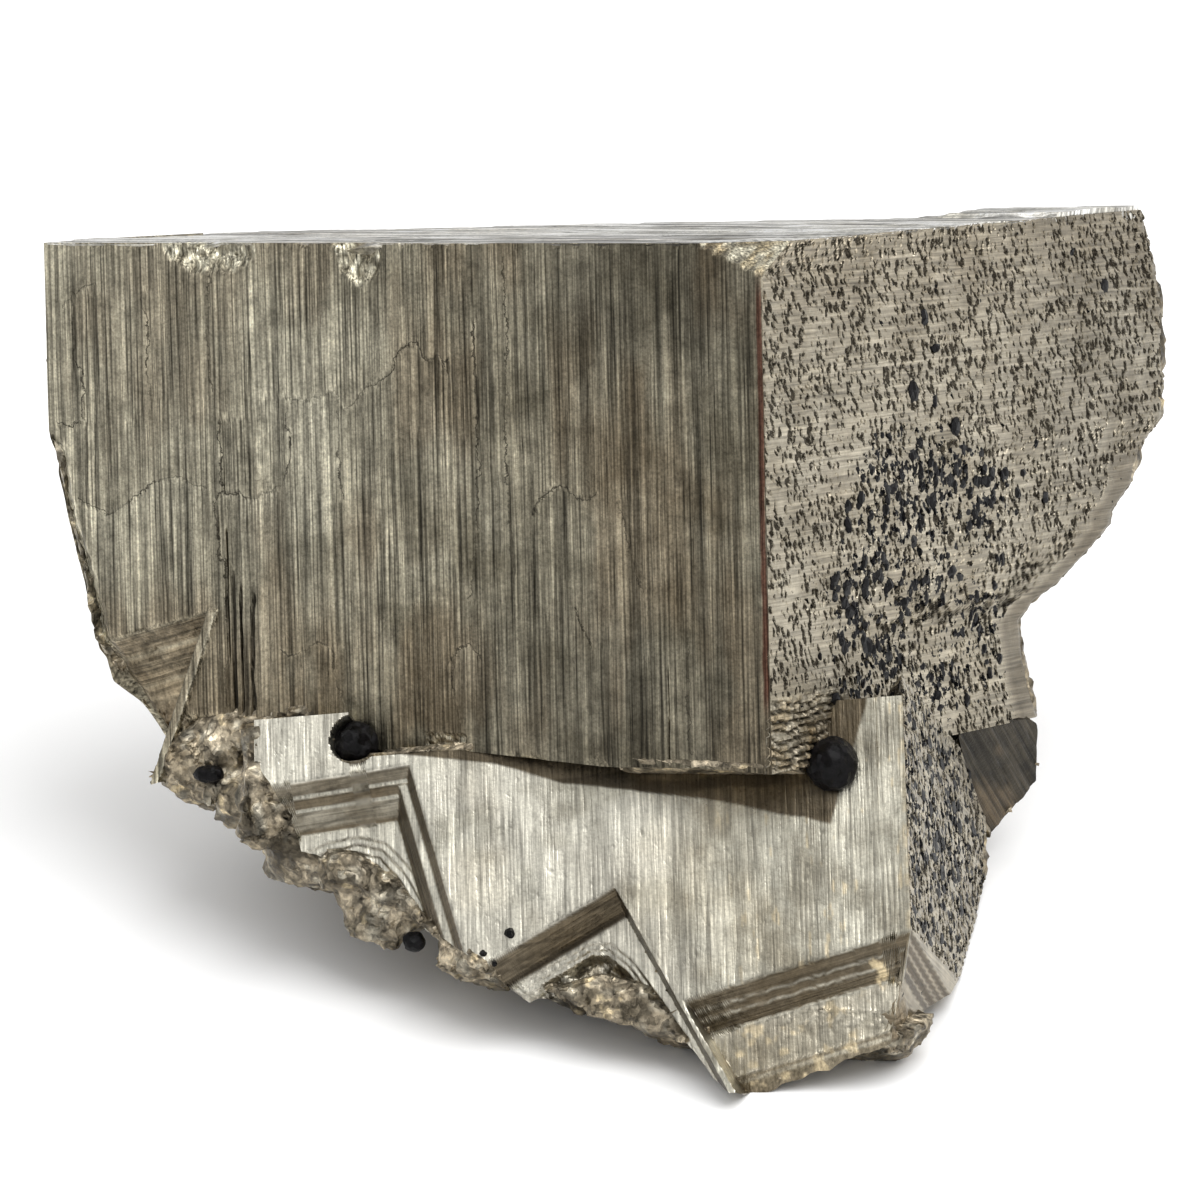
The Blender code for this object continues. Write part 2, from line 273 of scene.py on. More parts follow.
def crystalFace(name, matrix, origin, axes, a, b, depth, marks, material, thickness=1.4, inset=(4, 12)):
    # A crystal face: origin + a * axes[0] + b * axes[1] + depth * axes[2], axes[2] pointing inward.
    axes = np.array(axes, float)
    front = np.array(origin) + a[..., None] * axes[0] + b[..., None] * axes[1] + depth[..., None] * axes[2]
    points, triangles, picked = sheetMesh(front, axes[2], depth, thickness, inset)
    middle = (depth.shape[0] // 2, depth.shape[1] // 2)
    da = front[middle[0], middle[1] + 1] - front[middle]
    db = front[middle[0] + 1, middle[1]] - front[middle]
    if np.dot(np.cross(da, db), axes[2]) > 0:
        triangles = triangles[:, ::-1]
    spots = np.stack([a, b, depth], -1).reshape(-1, 3)[picked]
    none = np.zeros(len(picked))
    values = {"edgeAway": none + 9, "edgeNear": none, "wall": none, "rust": none, "gold": none, "freshAndSheen": none}
    values.update({key: value.ravel()[picked] for key, value in marks.items()})
    values["facePoint"] = spots
    inside = insideBox(placed(points, matrix))
    return newPiece(name, inside, triangles, values, ["pyrite"], material)


def fractions(columns, rows):
    # Grids of s along the columns and t along the rows, both 0 to 1.
    return np.meshgrid(np.linspace(0, 1, columns), np.linspace(0, 1, rows))


# Materials

def link(tree, start, end):
    # One socket to another.
    tree.links.new(start, end)


def mixColour(tree, factor, first, second):
    # first to second by factor; each may be a socket or a colour.
    node = tree.nodes.new("ShaderNodeMix")
    node.data_type = "RGBA"
    link(tree, factor, node.inputs[0])
    for socket, value in ((node.inputs[6], first), (node.inputs[7], second)):
        if isinstance(value, tuple):
            socket.default_value = value + (1,)
        else:
            link(tree, value, socket)
    return node.outputs[2]


def ranged(tree, value, low, high, start=0.0, end=1.0):
    # The value carried from the range low..high to start..end, and held there.
    node = tree.nodes.new("ShaderNodeMapRange")
    for index, number in enumerate((low, high, start, end), 1):
        node.inputs[index].default_value = number
    link(tree, value, node.inputs[0])
    return node.outputs[0]


def noise(tree, vector, scale, detail=2.0, roughness=0.5):
    # Cloudy noise, about 0.3 to 0.7.
    node = tree.nodes.new("ShaderNodeTexNoise")
    node.inputs["Scale"].default_value = scale
    node.inputs["Detail"].default_value = detail
    node.inputs["Roughness"].default_value = roughness
    link(tree, vector, node.inputs["Vector"])
    return node.outputs["Fac"]


def stretched(tree, vector, scale):
    # The vector times a scale along each axis, so noise read from it is drawn out.
    node = tree.nodes.new("ShaderNodeMapping")
    node.inputs["Scale"].default_value = scale
    link(tree, vector, node.inputs["Vector"])
    return node.outputs["Vector"]


def mark(tree, name):
    # A piece's own point attribute.
    node = tree.nodes.new("ShaderNodeAttribute")
    node.attribute_name = name
    return node


def scaled(tree, colour, factor):
    # Colour times factor, which may be a socket or a number.
    node = tree.nodes.new("ShaderNodeVectorMath")
    node.operation = "SCALE"
    link(tree, colour, node.inputs[0])
    if isinstance(factor, (int, float)):
        node.inputs["Scale"].default_value = factor
    else:
        link(tree, factor, node.inputs["Scale"])
    return node.outputs[0]


def computed(tree, operation, first, second=None):
    # One arithmetic step; second may be a socket or a number.
    node = tree.nodes.new("ShaderNodeMath")
    node.operation = operation
    link(tree, first, node.inputs[0])
    if isinstance(second, (int, float)):
        node.inputs[1].default_value = second
    elif second is not None:
        link(tree, second, node.inputs[1])
    return node.outputs[0]


def bumped(tree, height, strength, distance, before=None):
    # The normal leaned by the slope of height times distance, on top of the normal before it.
    node = tree.nodes.new("ShaderNodeBump")
    node.inputs["Strength"].default_value = strength
    node.inputs["Distance"].default_value = distance
    link(tree, height, node.inputs["Height"])
    if before is not None:
        link(tree, before, node.inputs["Normal"])
    return node.outputs["Normal"]


def tilted(tree, normal, cells, amount):
    # The normal plus a random direction for each cell, times an amount, so broken facets glint.
    away = tree.nodes.new("ShaderNodeVectorMath")
    away.operation = "SUBTRACT"
    link(tree, cells.outputs["Color"], away.inputs[0])
    away.inputs[1].default_value = (0.5, 0.5, 0.5)
    total = tree.nodes.new("ShaderNodeVectorMath")
    total.operation = "ADD"
    link(tree, normal, total.inputs[0])
    link(tree, scaled(tree, away.outputs[0], amount), total.inputs[1])
    unit = tree.nodes.new("ShaderNodeVectorMath")
    unit.operation = "NORMALIZE"
    link(tree, total.outputs[0], unit.inputs[0])
    return unit.outputs[0]


def brokenCells(tree, vector, scale):
    # Cells round random points: a colour for each, and the distance to its point.
    node = tree.nodes.new("ShaderNodeTexVoronoi")
    node.inputs["Scale"].default_value = scale
    link(tree, vector, node.inputs["Vector"])
    return node


markColours = {"rust": (0.078, 0.03, 0.02), "pit": (0.032, 0.026, 0.019), "black": (0.004, 0.004, 0.005)}


def facePyrite(name, colours, stripe, rough, contrast=0.5, bump=0.6, pitted=False):
    # Striated pyrite: two tarnish colours in blotches, times fine and wide streaks along the stripe, then
    # the marks, and a thin dark line of painted shadow where the signed distance to a growth layer's
    # edge is near zero. On pitted faces the pits' signed distance and a noise above a level make dark
    # pits and black blotches with crisp edges.
    material = bpy.data.materials.new(name)
    material.use_nodes = True
    tree = material.node_tree
    shader = tree.nodes["Principled BSDF"]
    point = mark(tree, "facePoint").outputs["Vector"]
    wall = mark(tree, "wall").outputs["Fac"]
    flatShare = ranged(tree, wall, 0.0, 1.0, 1.0, 0.0)
    flatStreaks = noise(tree, stretched(tree, point, stripe), 1.0, 2.0, 0.55)
    wallStreaks = noise(tree, stretched(tree, point, (0.05, 0.05, 5.0)), 1.0, 3.0, 0.65)
    streaks = computed(tree, "ADD", computed(tree, "MULTIPLY", flatStreaks, flatShare),
                       computed(tree, "MULTIPLY", wallStreaks, wall))
    fineStripe = (stripe[0] * 1.9, stripe[1] * 0.7, stripe[2])
    if stripe[1] > stripe[0]:
        fineStripe = (stripe[0] * 0.7, stripe[1] * 1.9, stripe[2])
    fineLines = noise(tree, stretched(tree, point, fineStripe), 1.0, 1.0, 0.5)
    wideStripe = tuple(value * 0.3 for value in stripe)
    wide = noise(tree, stretched(tree, point, wideStripe), 1.0, 3.0, 0.6)
    blotches = noise(tree, point, 0.11, 5.0, 0.62)
    grain = noise(tree, point, 3.2, 3.0, 0.7)
    mottle = noise(tree, point, 0.55, 4.0, 0.65)
    freshAndSheen = mark(tree, "freshAndSheen").outputs["Fac"]
    colour = mixColour(tree, ranged(tree, blotches, 0.38, 0.62), colours["dull"], colours["clear"])
    # Umber: brown tarnish, and painted shade on ledge and stair walls and under the large crystal's overhang.
    colour = mixColour(tree, mark(tree, "umberAndShade").outputs["Fac"], colour, colours["umberAndShade"])
    colour = mixColour(tree, freshAndSheen, colour, colours["freshAndSheen"])
    colour = mixColour(tree, mark(tree, "gold").outputs["Fac"], colour, colours["gold"])
    colour = mixColour(tree, mark(tree, "rust").outputs["Fac"], colour, markColours["rust"])
    for texture, share in ((streaks, 1.0), (wide, 0.6), (mottle, 0.45), (grain, 0.45)):
        swing = share * contrast
        colour = scaled(tree, colour, ranged(tree, texture, 0.29, 0.71, 1 - swing, 1 + swing))
    busy = computed(tree, "MULTIPLY", ranged(tree, mottle, 0.42, 0.6, 0.25, 1.0), flatShare)
    thin = computed(tree, "MULTIPLY", ranged(tree, fineLines, 0.57, 0.63, 0.0, 0.9 * contrast), busy)
    wobble = computed(tree, "ADD", ranged(tree, grain, 0.3, 0.7, -0.09, 0.09),
                      ranged(tree, mottle, 0.3, 0.7, -0.4, 0.4))
    # Painted shadow: a thin dark line along each growth layer's edge, joined by the fine dark streaks.
    away = computed(tree, "ABSOLUTE", computed(tree, "ADD", mark(tree, "edgeAway").outputs["Fac"], wobble))
    edgeShadowAndStreak = ranged(tree, away, 0.05, 0.12, 1.0, 0.0)
    edgeShadowAndStreak = computed(tree, "MULTIPLY", edgeShadowAndStreak, mark(tree, "edgeNear").outputs["Fac"])
    edgeShadowAndStreak = computed(tree, "MULTIPLY", edgeShadowAndStreak, ranged(tree, blotches, 0.4, 0.55, 0.45, 1.0))
    edgeShadowAndStreak = computed(tree, "MAXIMUM", edgeShadowAndStreak, thin)
    edgeShadowAndStreak = computed(tree, "MULTIPLY", edgeShadowAndStreak, 0.85)
    dark = computed(tree, "MAXIMUM", mark(tree, "dark").outputs["Fac"], edgeShadowAndStreak)
    colour = mixColour(tree, dark, colour, colours["dark"])
    normal = bumped(tree, streaks, bump, 0.00012)
    normal = bumped(tree, wide, bump * 0.8, 0.0003, normal)
    normal = bumped(tree, grain, bump * 0.5, 0.00012, normal)
    if pitted:
        jitter = ranged(tree, grain, 0.3, 0.7, -0.35, 0.35)
        pit = computed(tree, "ADD", mark(tree, "pit").outputs["Fac"], jitter)
        colour = mixColour(tree, ranged(tree, pit, 0.02, 0.11, 0.0, 0.85), colour, markColours["pit"])
        lumps = noise(tree, point, 0.8, 3.0, 0.62)
        crowding = computed(tree, "MULTIPLY", mark(tree, "crowd").outputs["Fac"], 0.17)
        level = computed(tree, "ADD", lumps, crowding)
        black = ranged(tree, level, 0.68, 0.695)
        shader.inputs["Specular IOR Level"].default_value = 0.08
        colour = mixColour(tree, black, colour, markColours["black"])
        link(tree, ranged(tree, black, 0.0, 1.0, 1.0, 0.0), shader.inputs["Metallic"])
        normal = bumped(tree, ranged(tree, pit, -0.1, 0.3, 1.0, 0.0), 0.8, 0.00035, normal)
    else:
        shader.inputs["Metallic"].default_value = 1.0
    cells = brokenCells(tree, point, 1.5)
    normal = tilted(tree, normal, cells, ranged(tree, freshAndSheen, 0.3, 0.9, 0.0, 0.9))
    link(tree, colour, shader.inputs["Base Color"])
    link(tree, ranged(tree, grain, 0.3, 0.75, rough[0], rough[1]), shader.inputs["Roughness"])
    link(tree, normal, shader.inputs["Normal"])
    return material


rockColours = {"dull": (0.2, 0.165, 0.112), "clear": (0.56, 0.485, 0.36), "gold": (0.66, 0.55, 0.36),
               "pale": (0.62, 0.58, 0.47)}


def brokenPyriteMaterial():
    # Broken pyrite: small facets of different brightness and tilt, with painted shade in the gaps between
    # them, on Object coordinates.
    material = bpy.data.materials.new("brokenPyrite")
    material.use_nodes = True
    tree = material.node_tree
    shader = tree.nodes["Principled BSDF"]
    place = tree.nodes.new("ShaderNodeTexCoord").outputs["Object"]
    coarse = noise(tree, place, 150.0, 4.0, 0.6)
    fine = noise(tree, place, 1300.0, 4.0, 0.7)
    spots = noise(tree, place, 420.0, 2.0, 0.6)
    bend = tree.nodes.new("ShaderNodeTexNoise")
    bend.inputs["Scale"].default_value = 260.0
    bend.inputs["Detail"].default_value = 3.0
    link(tree, place, bend.inputs["Vector"])
    bent = tree.nodes.new("ShaderNodeVectorMath")
    bent.operation = "MULTIPLY_ADD"
    link(tree, bend.outputs["Color"], bent.inputs[0])
    bent.inputs[1].default_value = (0.005, 0.005, 0.003)
    link(tree, place, bent.inputs[2])
    large = brokenCells(tree, bent.outputs[0], 480.0)
    small = brokenCells(tree, bent.outputs[0], 2000.0)
    wide = noise(tree, place, 38.0, 3.0, 0.55)
    colour = mixColour(tree, ranged(tree, coarse, 0.36, 0.66), rockColours["dull"], rockColours["clear"])
    colour = mixColour(tree, ranged(tree, spots, 0.62, 0.68), colour, rockColours["gold"])
    colour = mixColour(tree, mark(tree, "pale").outputs["Fac"], colour, rockColours["pale"])
    for cells, swing in ((large, 0.32), (small, 0.34)):
        parts = tree.nodes.new("ShaderNodeSeparateXYZ")
        link(tree, cells.outputs["Color"], parts.inputs[0])
        colour = scaled(tree, colour, ranged(tree, parts.outputs["X"], 0.0, 1.0, 1 - swing, 1 + swing))
    colour = scaled(tree, colour, ranged(tree, fine, 0.32, 0.62, 0.45, 1.25))
    colour = scaled(tree, colour, ranged(tree, wide, 0.36, 0.62, 0.78, 1.15))
    # Painted shade: darker towards each large cell's edge, in the gaps between facets.
    colour = scaled(tree, colour, ranged(tree, large.outputs["Distance"], 0.35, 0.75, 1.0, 0.35))
    link(tree, colour, shader.inputs["Base Color"])
    link(tree, ranged(tree, fine, 0.3, 0.7, 0.34, 0.62), shader.inputs["Roughness"])
    shader.inputs["Metallic"].default_value = 0.9
    normal = bumped(tree, large.outputs["Distance"], 0.5, 0.0005)
    normal = bumped(tree, fine, 0.5, 0.0003, normal)
    normal = tilted(tree, normal, large, ranged(tree, coarse, 0.35, 0.65, 0.3, 0.6))
    normal = tilted(tree, normal, small, ranged(tree, coarse, 0.35, 0.65, 0.7, 0.5))
    link(tree, normal, shader.inputs["Normal"])
    return material


blackColours = {"deep": (0.002, 0.002, 0.002), "faint": (0.008, 0.007, 0.008)}


def blackMaterial():
    # Nearly black, slightly glossy crystal: small tilted facets with faint grey specks.
    material = bpy.data.materials.new("blackCrystal")
    material.use_nodes = True
    tree = material.node_tree
    shader = tree.nodes["Principled BSDF"]
    place = tree.nodes.new("ShaderNodeTexCoord").outputs["Object"]
    fine = noise(tree, place, 1500.0, 4.0, 0.65)
    colour = mixColour(tree, ranged(tree, fine, 0.4, 0.7), blackColours["deep"], blackColours["faint"])
    link(tree, colour, shader.inputs["Base Color"])
    link(tree, ranged(tree, fine, 0.3, 0.7, 0.3, 0.55), shader.inputs["Roughness"])
    shader.inputs["Specular IOR Level"].default_value = 0.1
    normal = bumped(tree, fine, 0.5, 0.0002)
    normal = tilted(tree, normal, brokenCells(tree, place, 1100.0), 0.7)
    link(tree, normal, shader.inputs["Normal"])
    return material


frontColours = {"dull": (0.152, 0.135, 0.095), "clear": (0.32, 0.29, 0.214),
                "umberAndShade": (0.17, 0.125, 0.075), "freshAndSheen": (0.74, 0.70, 0.55), "gold": (0.6, 0.46, 0.24),
                "dark": (0.025, 0.022, 0.017)}
rightColours = {"dull": (0.30, 0.264, 0.198), "clear": (0.41, 0.37, 0.29),
                "umberAndShade": (0.18, 0.135, 0.08), "freshAndSheen": (0.78, 0.73, 0.60), "gold": (0.55, 0.40, 0.2),
                "dark": (0.012, 0.011, 0.01)}
# The lower face's umber is painted shade on its ledge walls and under the overhang, and the brown of broken
# floors.
lowerColours = {"dull": (0.27, 0.25, 0.198), "clear": (0.57, 0.547, 0.455),
                "umberAndShade": (0.085, 0.065, 0.04), "freshAndSheen": (0.86, 0.83, 0.73), "gold": (0.66, 0.54, 0.34),
                "dark": (0.022, 0.018, 0.013)}
topColours = {"dull": (0.42, 0.40, 0.345), "clear": (0.92, 0.91, 0.87),
              "umberAndShade": (0.24, 0.20, 0.15), "freshAndSheen": (0.92, 0.9, 0.82), "gold": (0.6, 0.45, 0.2),
              "dark": (0.04, 0.035, 0.028)}
wedgeColours = {**frontColours, "dull": (0.026, 0.022, 0.015), "clear": (0.052, 0.044, 0.031)}
frontMaterial = facePyrite("tarnishedFront", frontColours, (3.4, 0.05, 5.0), (0.3, 0.5), 0.82, 0.85)
rightMaterial = facePyrite("pittedRight", rightColours, (0.12, 3.4, 2.0), (0.34, 0.54), 0.36, 0.5, True)
lowerMaterial = facePyrite("brightLower", lowerColours, (3.4, 0.15, 4.0), (0.26, 0.46), 0.38, 0.55)
topMaterial = facePyrite("brightTop", topColours, (0.03, 2.2, 3.0), (0.25, 0.5), 0.8, 0.6)
wedgeMaterial = facePyrite("darkWedge", wedgeColours, (0.08, 3.0, 3.0), (0.34, 0.55), 0.6, 0.8)
brokenMaterial = brokenPyriteMaterial()
blackCrystal = blackMaterial()
print("materials made")


# Striations

def striations(across, along, seed, strength=1.0):
    # Growth lines: level steps of random curves stretched along the stripe, and a few thin dark grooves.
    # Returns the depth in millimetres and how much of a groove each point is in.
    a = across + 0.2 * smoothRandom(across / 6, along / 16, seed)
    busy = soft(roughRandom(across / 9, along / 15, seed + 1), 0.3, 0.62)
    depth = 0
    for index, (period, length, size) in enumerate(((0.37, 9, 0.045), (0.66, 17, 0.07), (1.5, 28, 0.08))):
        curve = smoothRandom(a / period, along / length, seed + 2 + index)
        depth = depth + size * curve * (0.3 + 0.7 * busy)
    wide = smoothRandom(a / 3.0, along / 44, seed + 6) * 6
    level = np.floor(wide)
    depth = depth + 0.03 * (level + soft(wide - level, 0.42, 0.58))
    lineCurve = smoothRandom(a / 0.8, along / 34, seed + 7)
    lines = soft(1 - np.abs(lineCurve - 0.62) / 0.035, 0, 1) * soft(busy, 0.35, 0.9)
    depth = depth + 0.05 * lines
    return strength * (depth - 0.12), np.clip(lines * 0.6, 0, 1)


def edgeMarks(a, b, lines):
    # Signed distance to the nearest growth layer's edge, and 1 beside one, where the painted shadow line
    # goes. Each line is (points, mask).
    best, signed = np.full(np.shape(a), 9.0), np.full(np.shape(a), 9.0)
    for points, mask in lines:
        away = sideOf(a, b, points)
        far = np.abs(away) + 9 * (1 - mask)
        signed = np.where(far < best, away, signed)
        best = np.minimum(far, best)
    return {"edgeAway": signed, "edgeNear": 1 - soft(best, 0.7, 1.2)}


def between(values, low, high, edge=0.3):
    # 1 from low to high, with soft edges.
    return soft(values, low - edge, low + edge) * (1 - soft(values, high - edge, high + edge))


# Large crystal, front face

frontValues = {
    "width": 88.4,
    "columns": 705, "rows": 121,
    "lean": 0.033,             # sideways drift of the striations for each millimetre down
    "bottom": [(-88.4, -20.0), (-87.8, -24.3), (-87.0, -29.1), (-85.4, -33.9), (-83.7, -40.2), (-82.2, -46.6),
               (-81.4, -48.8), (-78.3, -53.6), (-76.6, -57.6), (-75.2, -57.2), (-73.0, -53.0), (-70.0, -51.2),
               (-66.9, -50.4), (-62.7, -50.0), (-56.4, -49.1), (-52.1, -51.4), (-49.8, -52.2), (-46.5, -53.3),
               (-41.5, -52.9), (-37.2, -52.5), (-32.3, -52.8), (-20.3, -53.5), (-8.4, -53.2), (0.0, -53.5)],
    "chips": [(-73.2, -60.7, 3.1), (-51.4, -45.2, 4.4)],     # pale chips on the top edge: left, right, height
    "ledgeCorner": (-68.0, -38.6),
    "ledgeLeft": (-81.8, -42.3),
    "ledgeLow": (-76.5, -58.2),
}


def bite(x, z):
    # Depth of the chips in the top edge: ovals that deepen towards the edge, with rough facets.
    total, inside = 0, 0
    for left, right, height in frontValues["chips"]:
        middle, half = (left + right) / 2, (right - left) / 2
        wave = 0.22 * (roughRandom(x / 1.5, z / 1.5, 71) - 0.5)
        shape = 1 - np.sqrt(((x - middle) / half) ** 2 + (z / height) ** 2) + wave
        rim = soft(shape, 0.0, 0.12)
        facets = 0.9 * (roughRandom(x / 0.7, z / 0.7, 72) - 0.5)
        total = total + rim * (0.25 + 1.5 * np.clip(shape, 0, 1) + facets)
        inside = inside + rim
    return np.maximum(total, 0), np.clip(inside, 0, 1)


def cornerLedge(x, z):
    # The ledge in the large crystal's lower left corner, and the painted shade, dark brown, on its walls.
    ripple = 0.06 * smoothRandom(x / 2.0, z / 2.0, 81)
    past = pastLine(x, z, frontValues["ledgeLeft"], frontValues["ledgeCorner"]) + ripple
    left = pastLine(x, z, frontValues["ledgeCorner"], frontValues["ledgeLow"])
    one = np.interp(past, [0, 0.25, 2.3, 2.7, 3.3, 5.6, 6.0, 7.6, 8.2],
                    [0, 0.15, 2.1, 2.2, 2.4, 4.0, 4.15, 4.5, 4.6])
    two = np.interp(left, [0, 0.7, 1.2, 1.9, 2.3], [0, 2.2, 2.4, 4.4, 4.6])
    depth = np.minimum(one, two)
    depth = depth + soft(depth, 0.3, 1.2) * 0.05 * (smoothRandom(past / 0.3, (x + 0.25 * z) / 9, 82) - 0.5)
    rough = soft(past, 7.4, 9.6) * soft(depth, 2, 3.5)
    depth = depth + rough * 1.3 * (roughRandom(x / 1.3, z / 1.3, 83) - 0.35)
    # Painted shade: the ledge's walls dark brown, its two treads less so.
    wallShade = soft(depth, 0.1, 0.5) * (1 - 0.75 * between(past, 2.35, 2.75, 0.12))
    wallShade = wallShade * (1 - 0.6 * between(past, 5.65, 6.0, 0.12))
    return np.maximum(depth, 0), wallShade * 0.8, rough


cornerChip = {"reach": 7.5, "slopeX": 0.133, "slopeY": 0.167, "slopeZ": 0.3125, "onTop": 0.796}


def chipPlane(x, z):
    # The y of the flat chip on the near top corner: slopeX * (x + reach) + slopeZ * z, over slopeY.
    rise = cornerChip["slopeX"] * (x + cornerChip["reach"]) + cornerChip["slopeZ"] * z
    return rise / cornerChip["slopeY"]


def nearChip(x, z):
    # Depth of the chip in the front face: its plane with a small wave.
    return chipPlane(x, z) + 0.28 * (roughRandom(x / 1.6, z / 0.8, 84) - 0.5)


frontLayers = [  # the upper edges of growth layers: points, step, how far down it fades
    ([(-57.9, -16.0), (-55.6, -16.5), (-53.6, -15.9), (-51.3, -15.3)], 0.14, 10),
    ([(-51.1, -17.4), (-49.3, -16.6), (-47.9, -15.1), (-46.4, -14.6), (-44.7, -13.2), (-43.9, -11.6),
      (-42.6, -10.3), (-41.3, -10.5), (-40.6, -12.0), (-38.9, -11.4), (-38.0, -12.7), (-37.3, -11.6)],
     0.16, 11),
    ([(-66.3, -26.6), (-64.3, -26.2), (-62.8, -27.1), (-61.2, -26.2), (-60.0, -26.0), (-58.4, -25.2)],
     0.14, 8),
    ([(-28.0, -28.0), (-27.2, -26.8), (-26.1, -25.4), (-23.6, -24.8), (-22.6, -25.8), (-21.3, -26.2),
      (-19.8, -25.2)], 0.15, 10),
    ([(-85.0, -27.4), (-81.0, -28.8), (-78.0, -27.4), (-75.2, -25.4), (-72.0, -24.8), (-68.0, -26.0)],
     0.08, 8),
    ([(-59.6, -42.6), (-58.3, -43.4), (-56.5, -42.8), (-54.6, -41.6), (-53.2, -42.2)], 0.12, 3),
    ([(-38.6, -43.6), (-37.4, -42.0), (-35.8, -41.4), (-34.2, -43.0)], 0.12, 3),
    ([(-86.4, -7.0), (-84.9, -5.6), (-83.0, -4.6), (-81.6, -4.4)], 0.1, 6),
    ([(-87.4, -19.4), (-85.6, -19.6), (-84.0, -19.2)], 0.08, 5),
]
frontCracks = [  # the sides of growth layers, running down: points, step to the right (+) or left (-), width
    ([(-66.4, -18.3), (-66.2, -26.2), (-67.2, -26.9), (-66.9, -33.3), (-66.1, -33.4), (-66.4, -49.0)],
     0.2, 2.2),
    ([(-57.7, -16.0), (-57.9, -19.0), (-57.2, -20.5), (-57.5, -22.3), (-58.4, -25.2)], -0.14, 3.0),
    ([(-51.2, -15.3), (-51.4, -22.0), (-51.0, -27.0)], -0.08, 2.0),
    ([(-84.9, -5.6), (-84.9, -12.5), (-83.8, -14.1), (-84.0, -19.2)], 0.12, 3.0),
    ([(-34.6, -8.0), (-34.1, -16.0), (-34.4, -28.0), (-35.3, -35.2), (-36.0, -37.0)], 0.12, 2.5),
    ([(-30.6, -1.0), (-30.2, -9.0), (-30.9, -20.0), (-30.3, -34.0)], 0.1, 1.5),
    ([(-17.5, -26.0), (-16.2, -31.0), (-14.8, -35.4)], 0.12, 1.0),
    ([(-76.0, -5.0), (-75.2, -9.0), (-75.6, -13.5), (-74.8, -16.5)], 0.1, 2.0),
    ([(-67.0, -3.0), (-67.6, -9.0), (-67.2, -16.0)], 0.08, 1.6),
    ([(-9.5, -39.0), (-9.7, -46.0), (-9.4, -52.0)], 0.1, 1.2),
    ([(-53.0, -42.2), (-52.6, -45.0), (-51.6, -48.0)], 0.1, 1.2),
    ([(-37.8, -42.2), (-38.0, -46.0), (-37.2, -49.5)], 0.1, 1.2),
    ([(-23.0, -37.0), (-22.2, -39.0), (-21.0, -41.5)], 0.08, 0.8),
]
frontGrooves = [  # upright grooves: middle, width, top, foot, sideways wave
    (-65.3, 0.34, -34.5, -49.8, 0.02),
    (-64.3, 0.2, -36.0, -50.0, 0.05),
    (-62.9, 0.3, -36.5, -50.5, 0.35),
    (-66.0, 0.16, -30.0, -44.0, 0.02),
    (-12.0, 0.1, -43.0, -53.0, 0.03),
]


def frontSteps(x, z):
    # Steps of the front face's growth layers: lower just past each edge, and level again farther on.
    total, tone, edges = 0, 0, []
    for index, (points, size, fade) in enumerate(frontLayers):
        under = sideOf(x, z, points)
        across = between(x, points[0][0], points[-1][0], 0.5)
        wider = between(x, points[0][0] + 1.5, points[-1][0] - 1.5, 1.5)
        sign = (0.2, -0.24, 0.16, -0.22)[index % 4]
        tone = tone + sign * wider * soft(under, -0.05, 0.15) * np.exp(-np.clip(under, 0, None) / fade)
        total = total + across * soft(under, -0.05, 0.15) * size * np.exp(-np.clip(under, 0, None) / fade)
        edges.append((points, between(x, points[0][0], points[-1][0], 0.12)))
    for points, size, fade in frontCracks:
        side = sideOf(x, z, points)
        ends = between(z, points[-1][1], points[0][1], 0.4)
        lower = soft(-side * np.sign(size), -0.03, 0.1)
        total = total + ends * lower * abs(size) * np.exp(-np.abs(side) / fade)
        edges.append((points, between(z, points[-1][1], points[0][1], 0.2)))
    return total, tone, edgeMarks(x, z, edges)


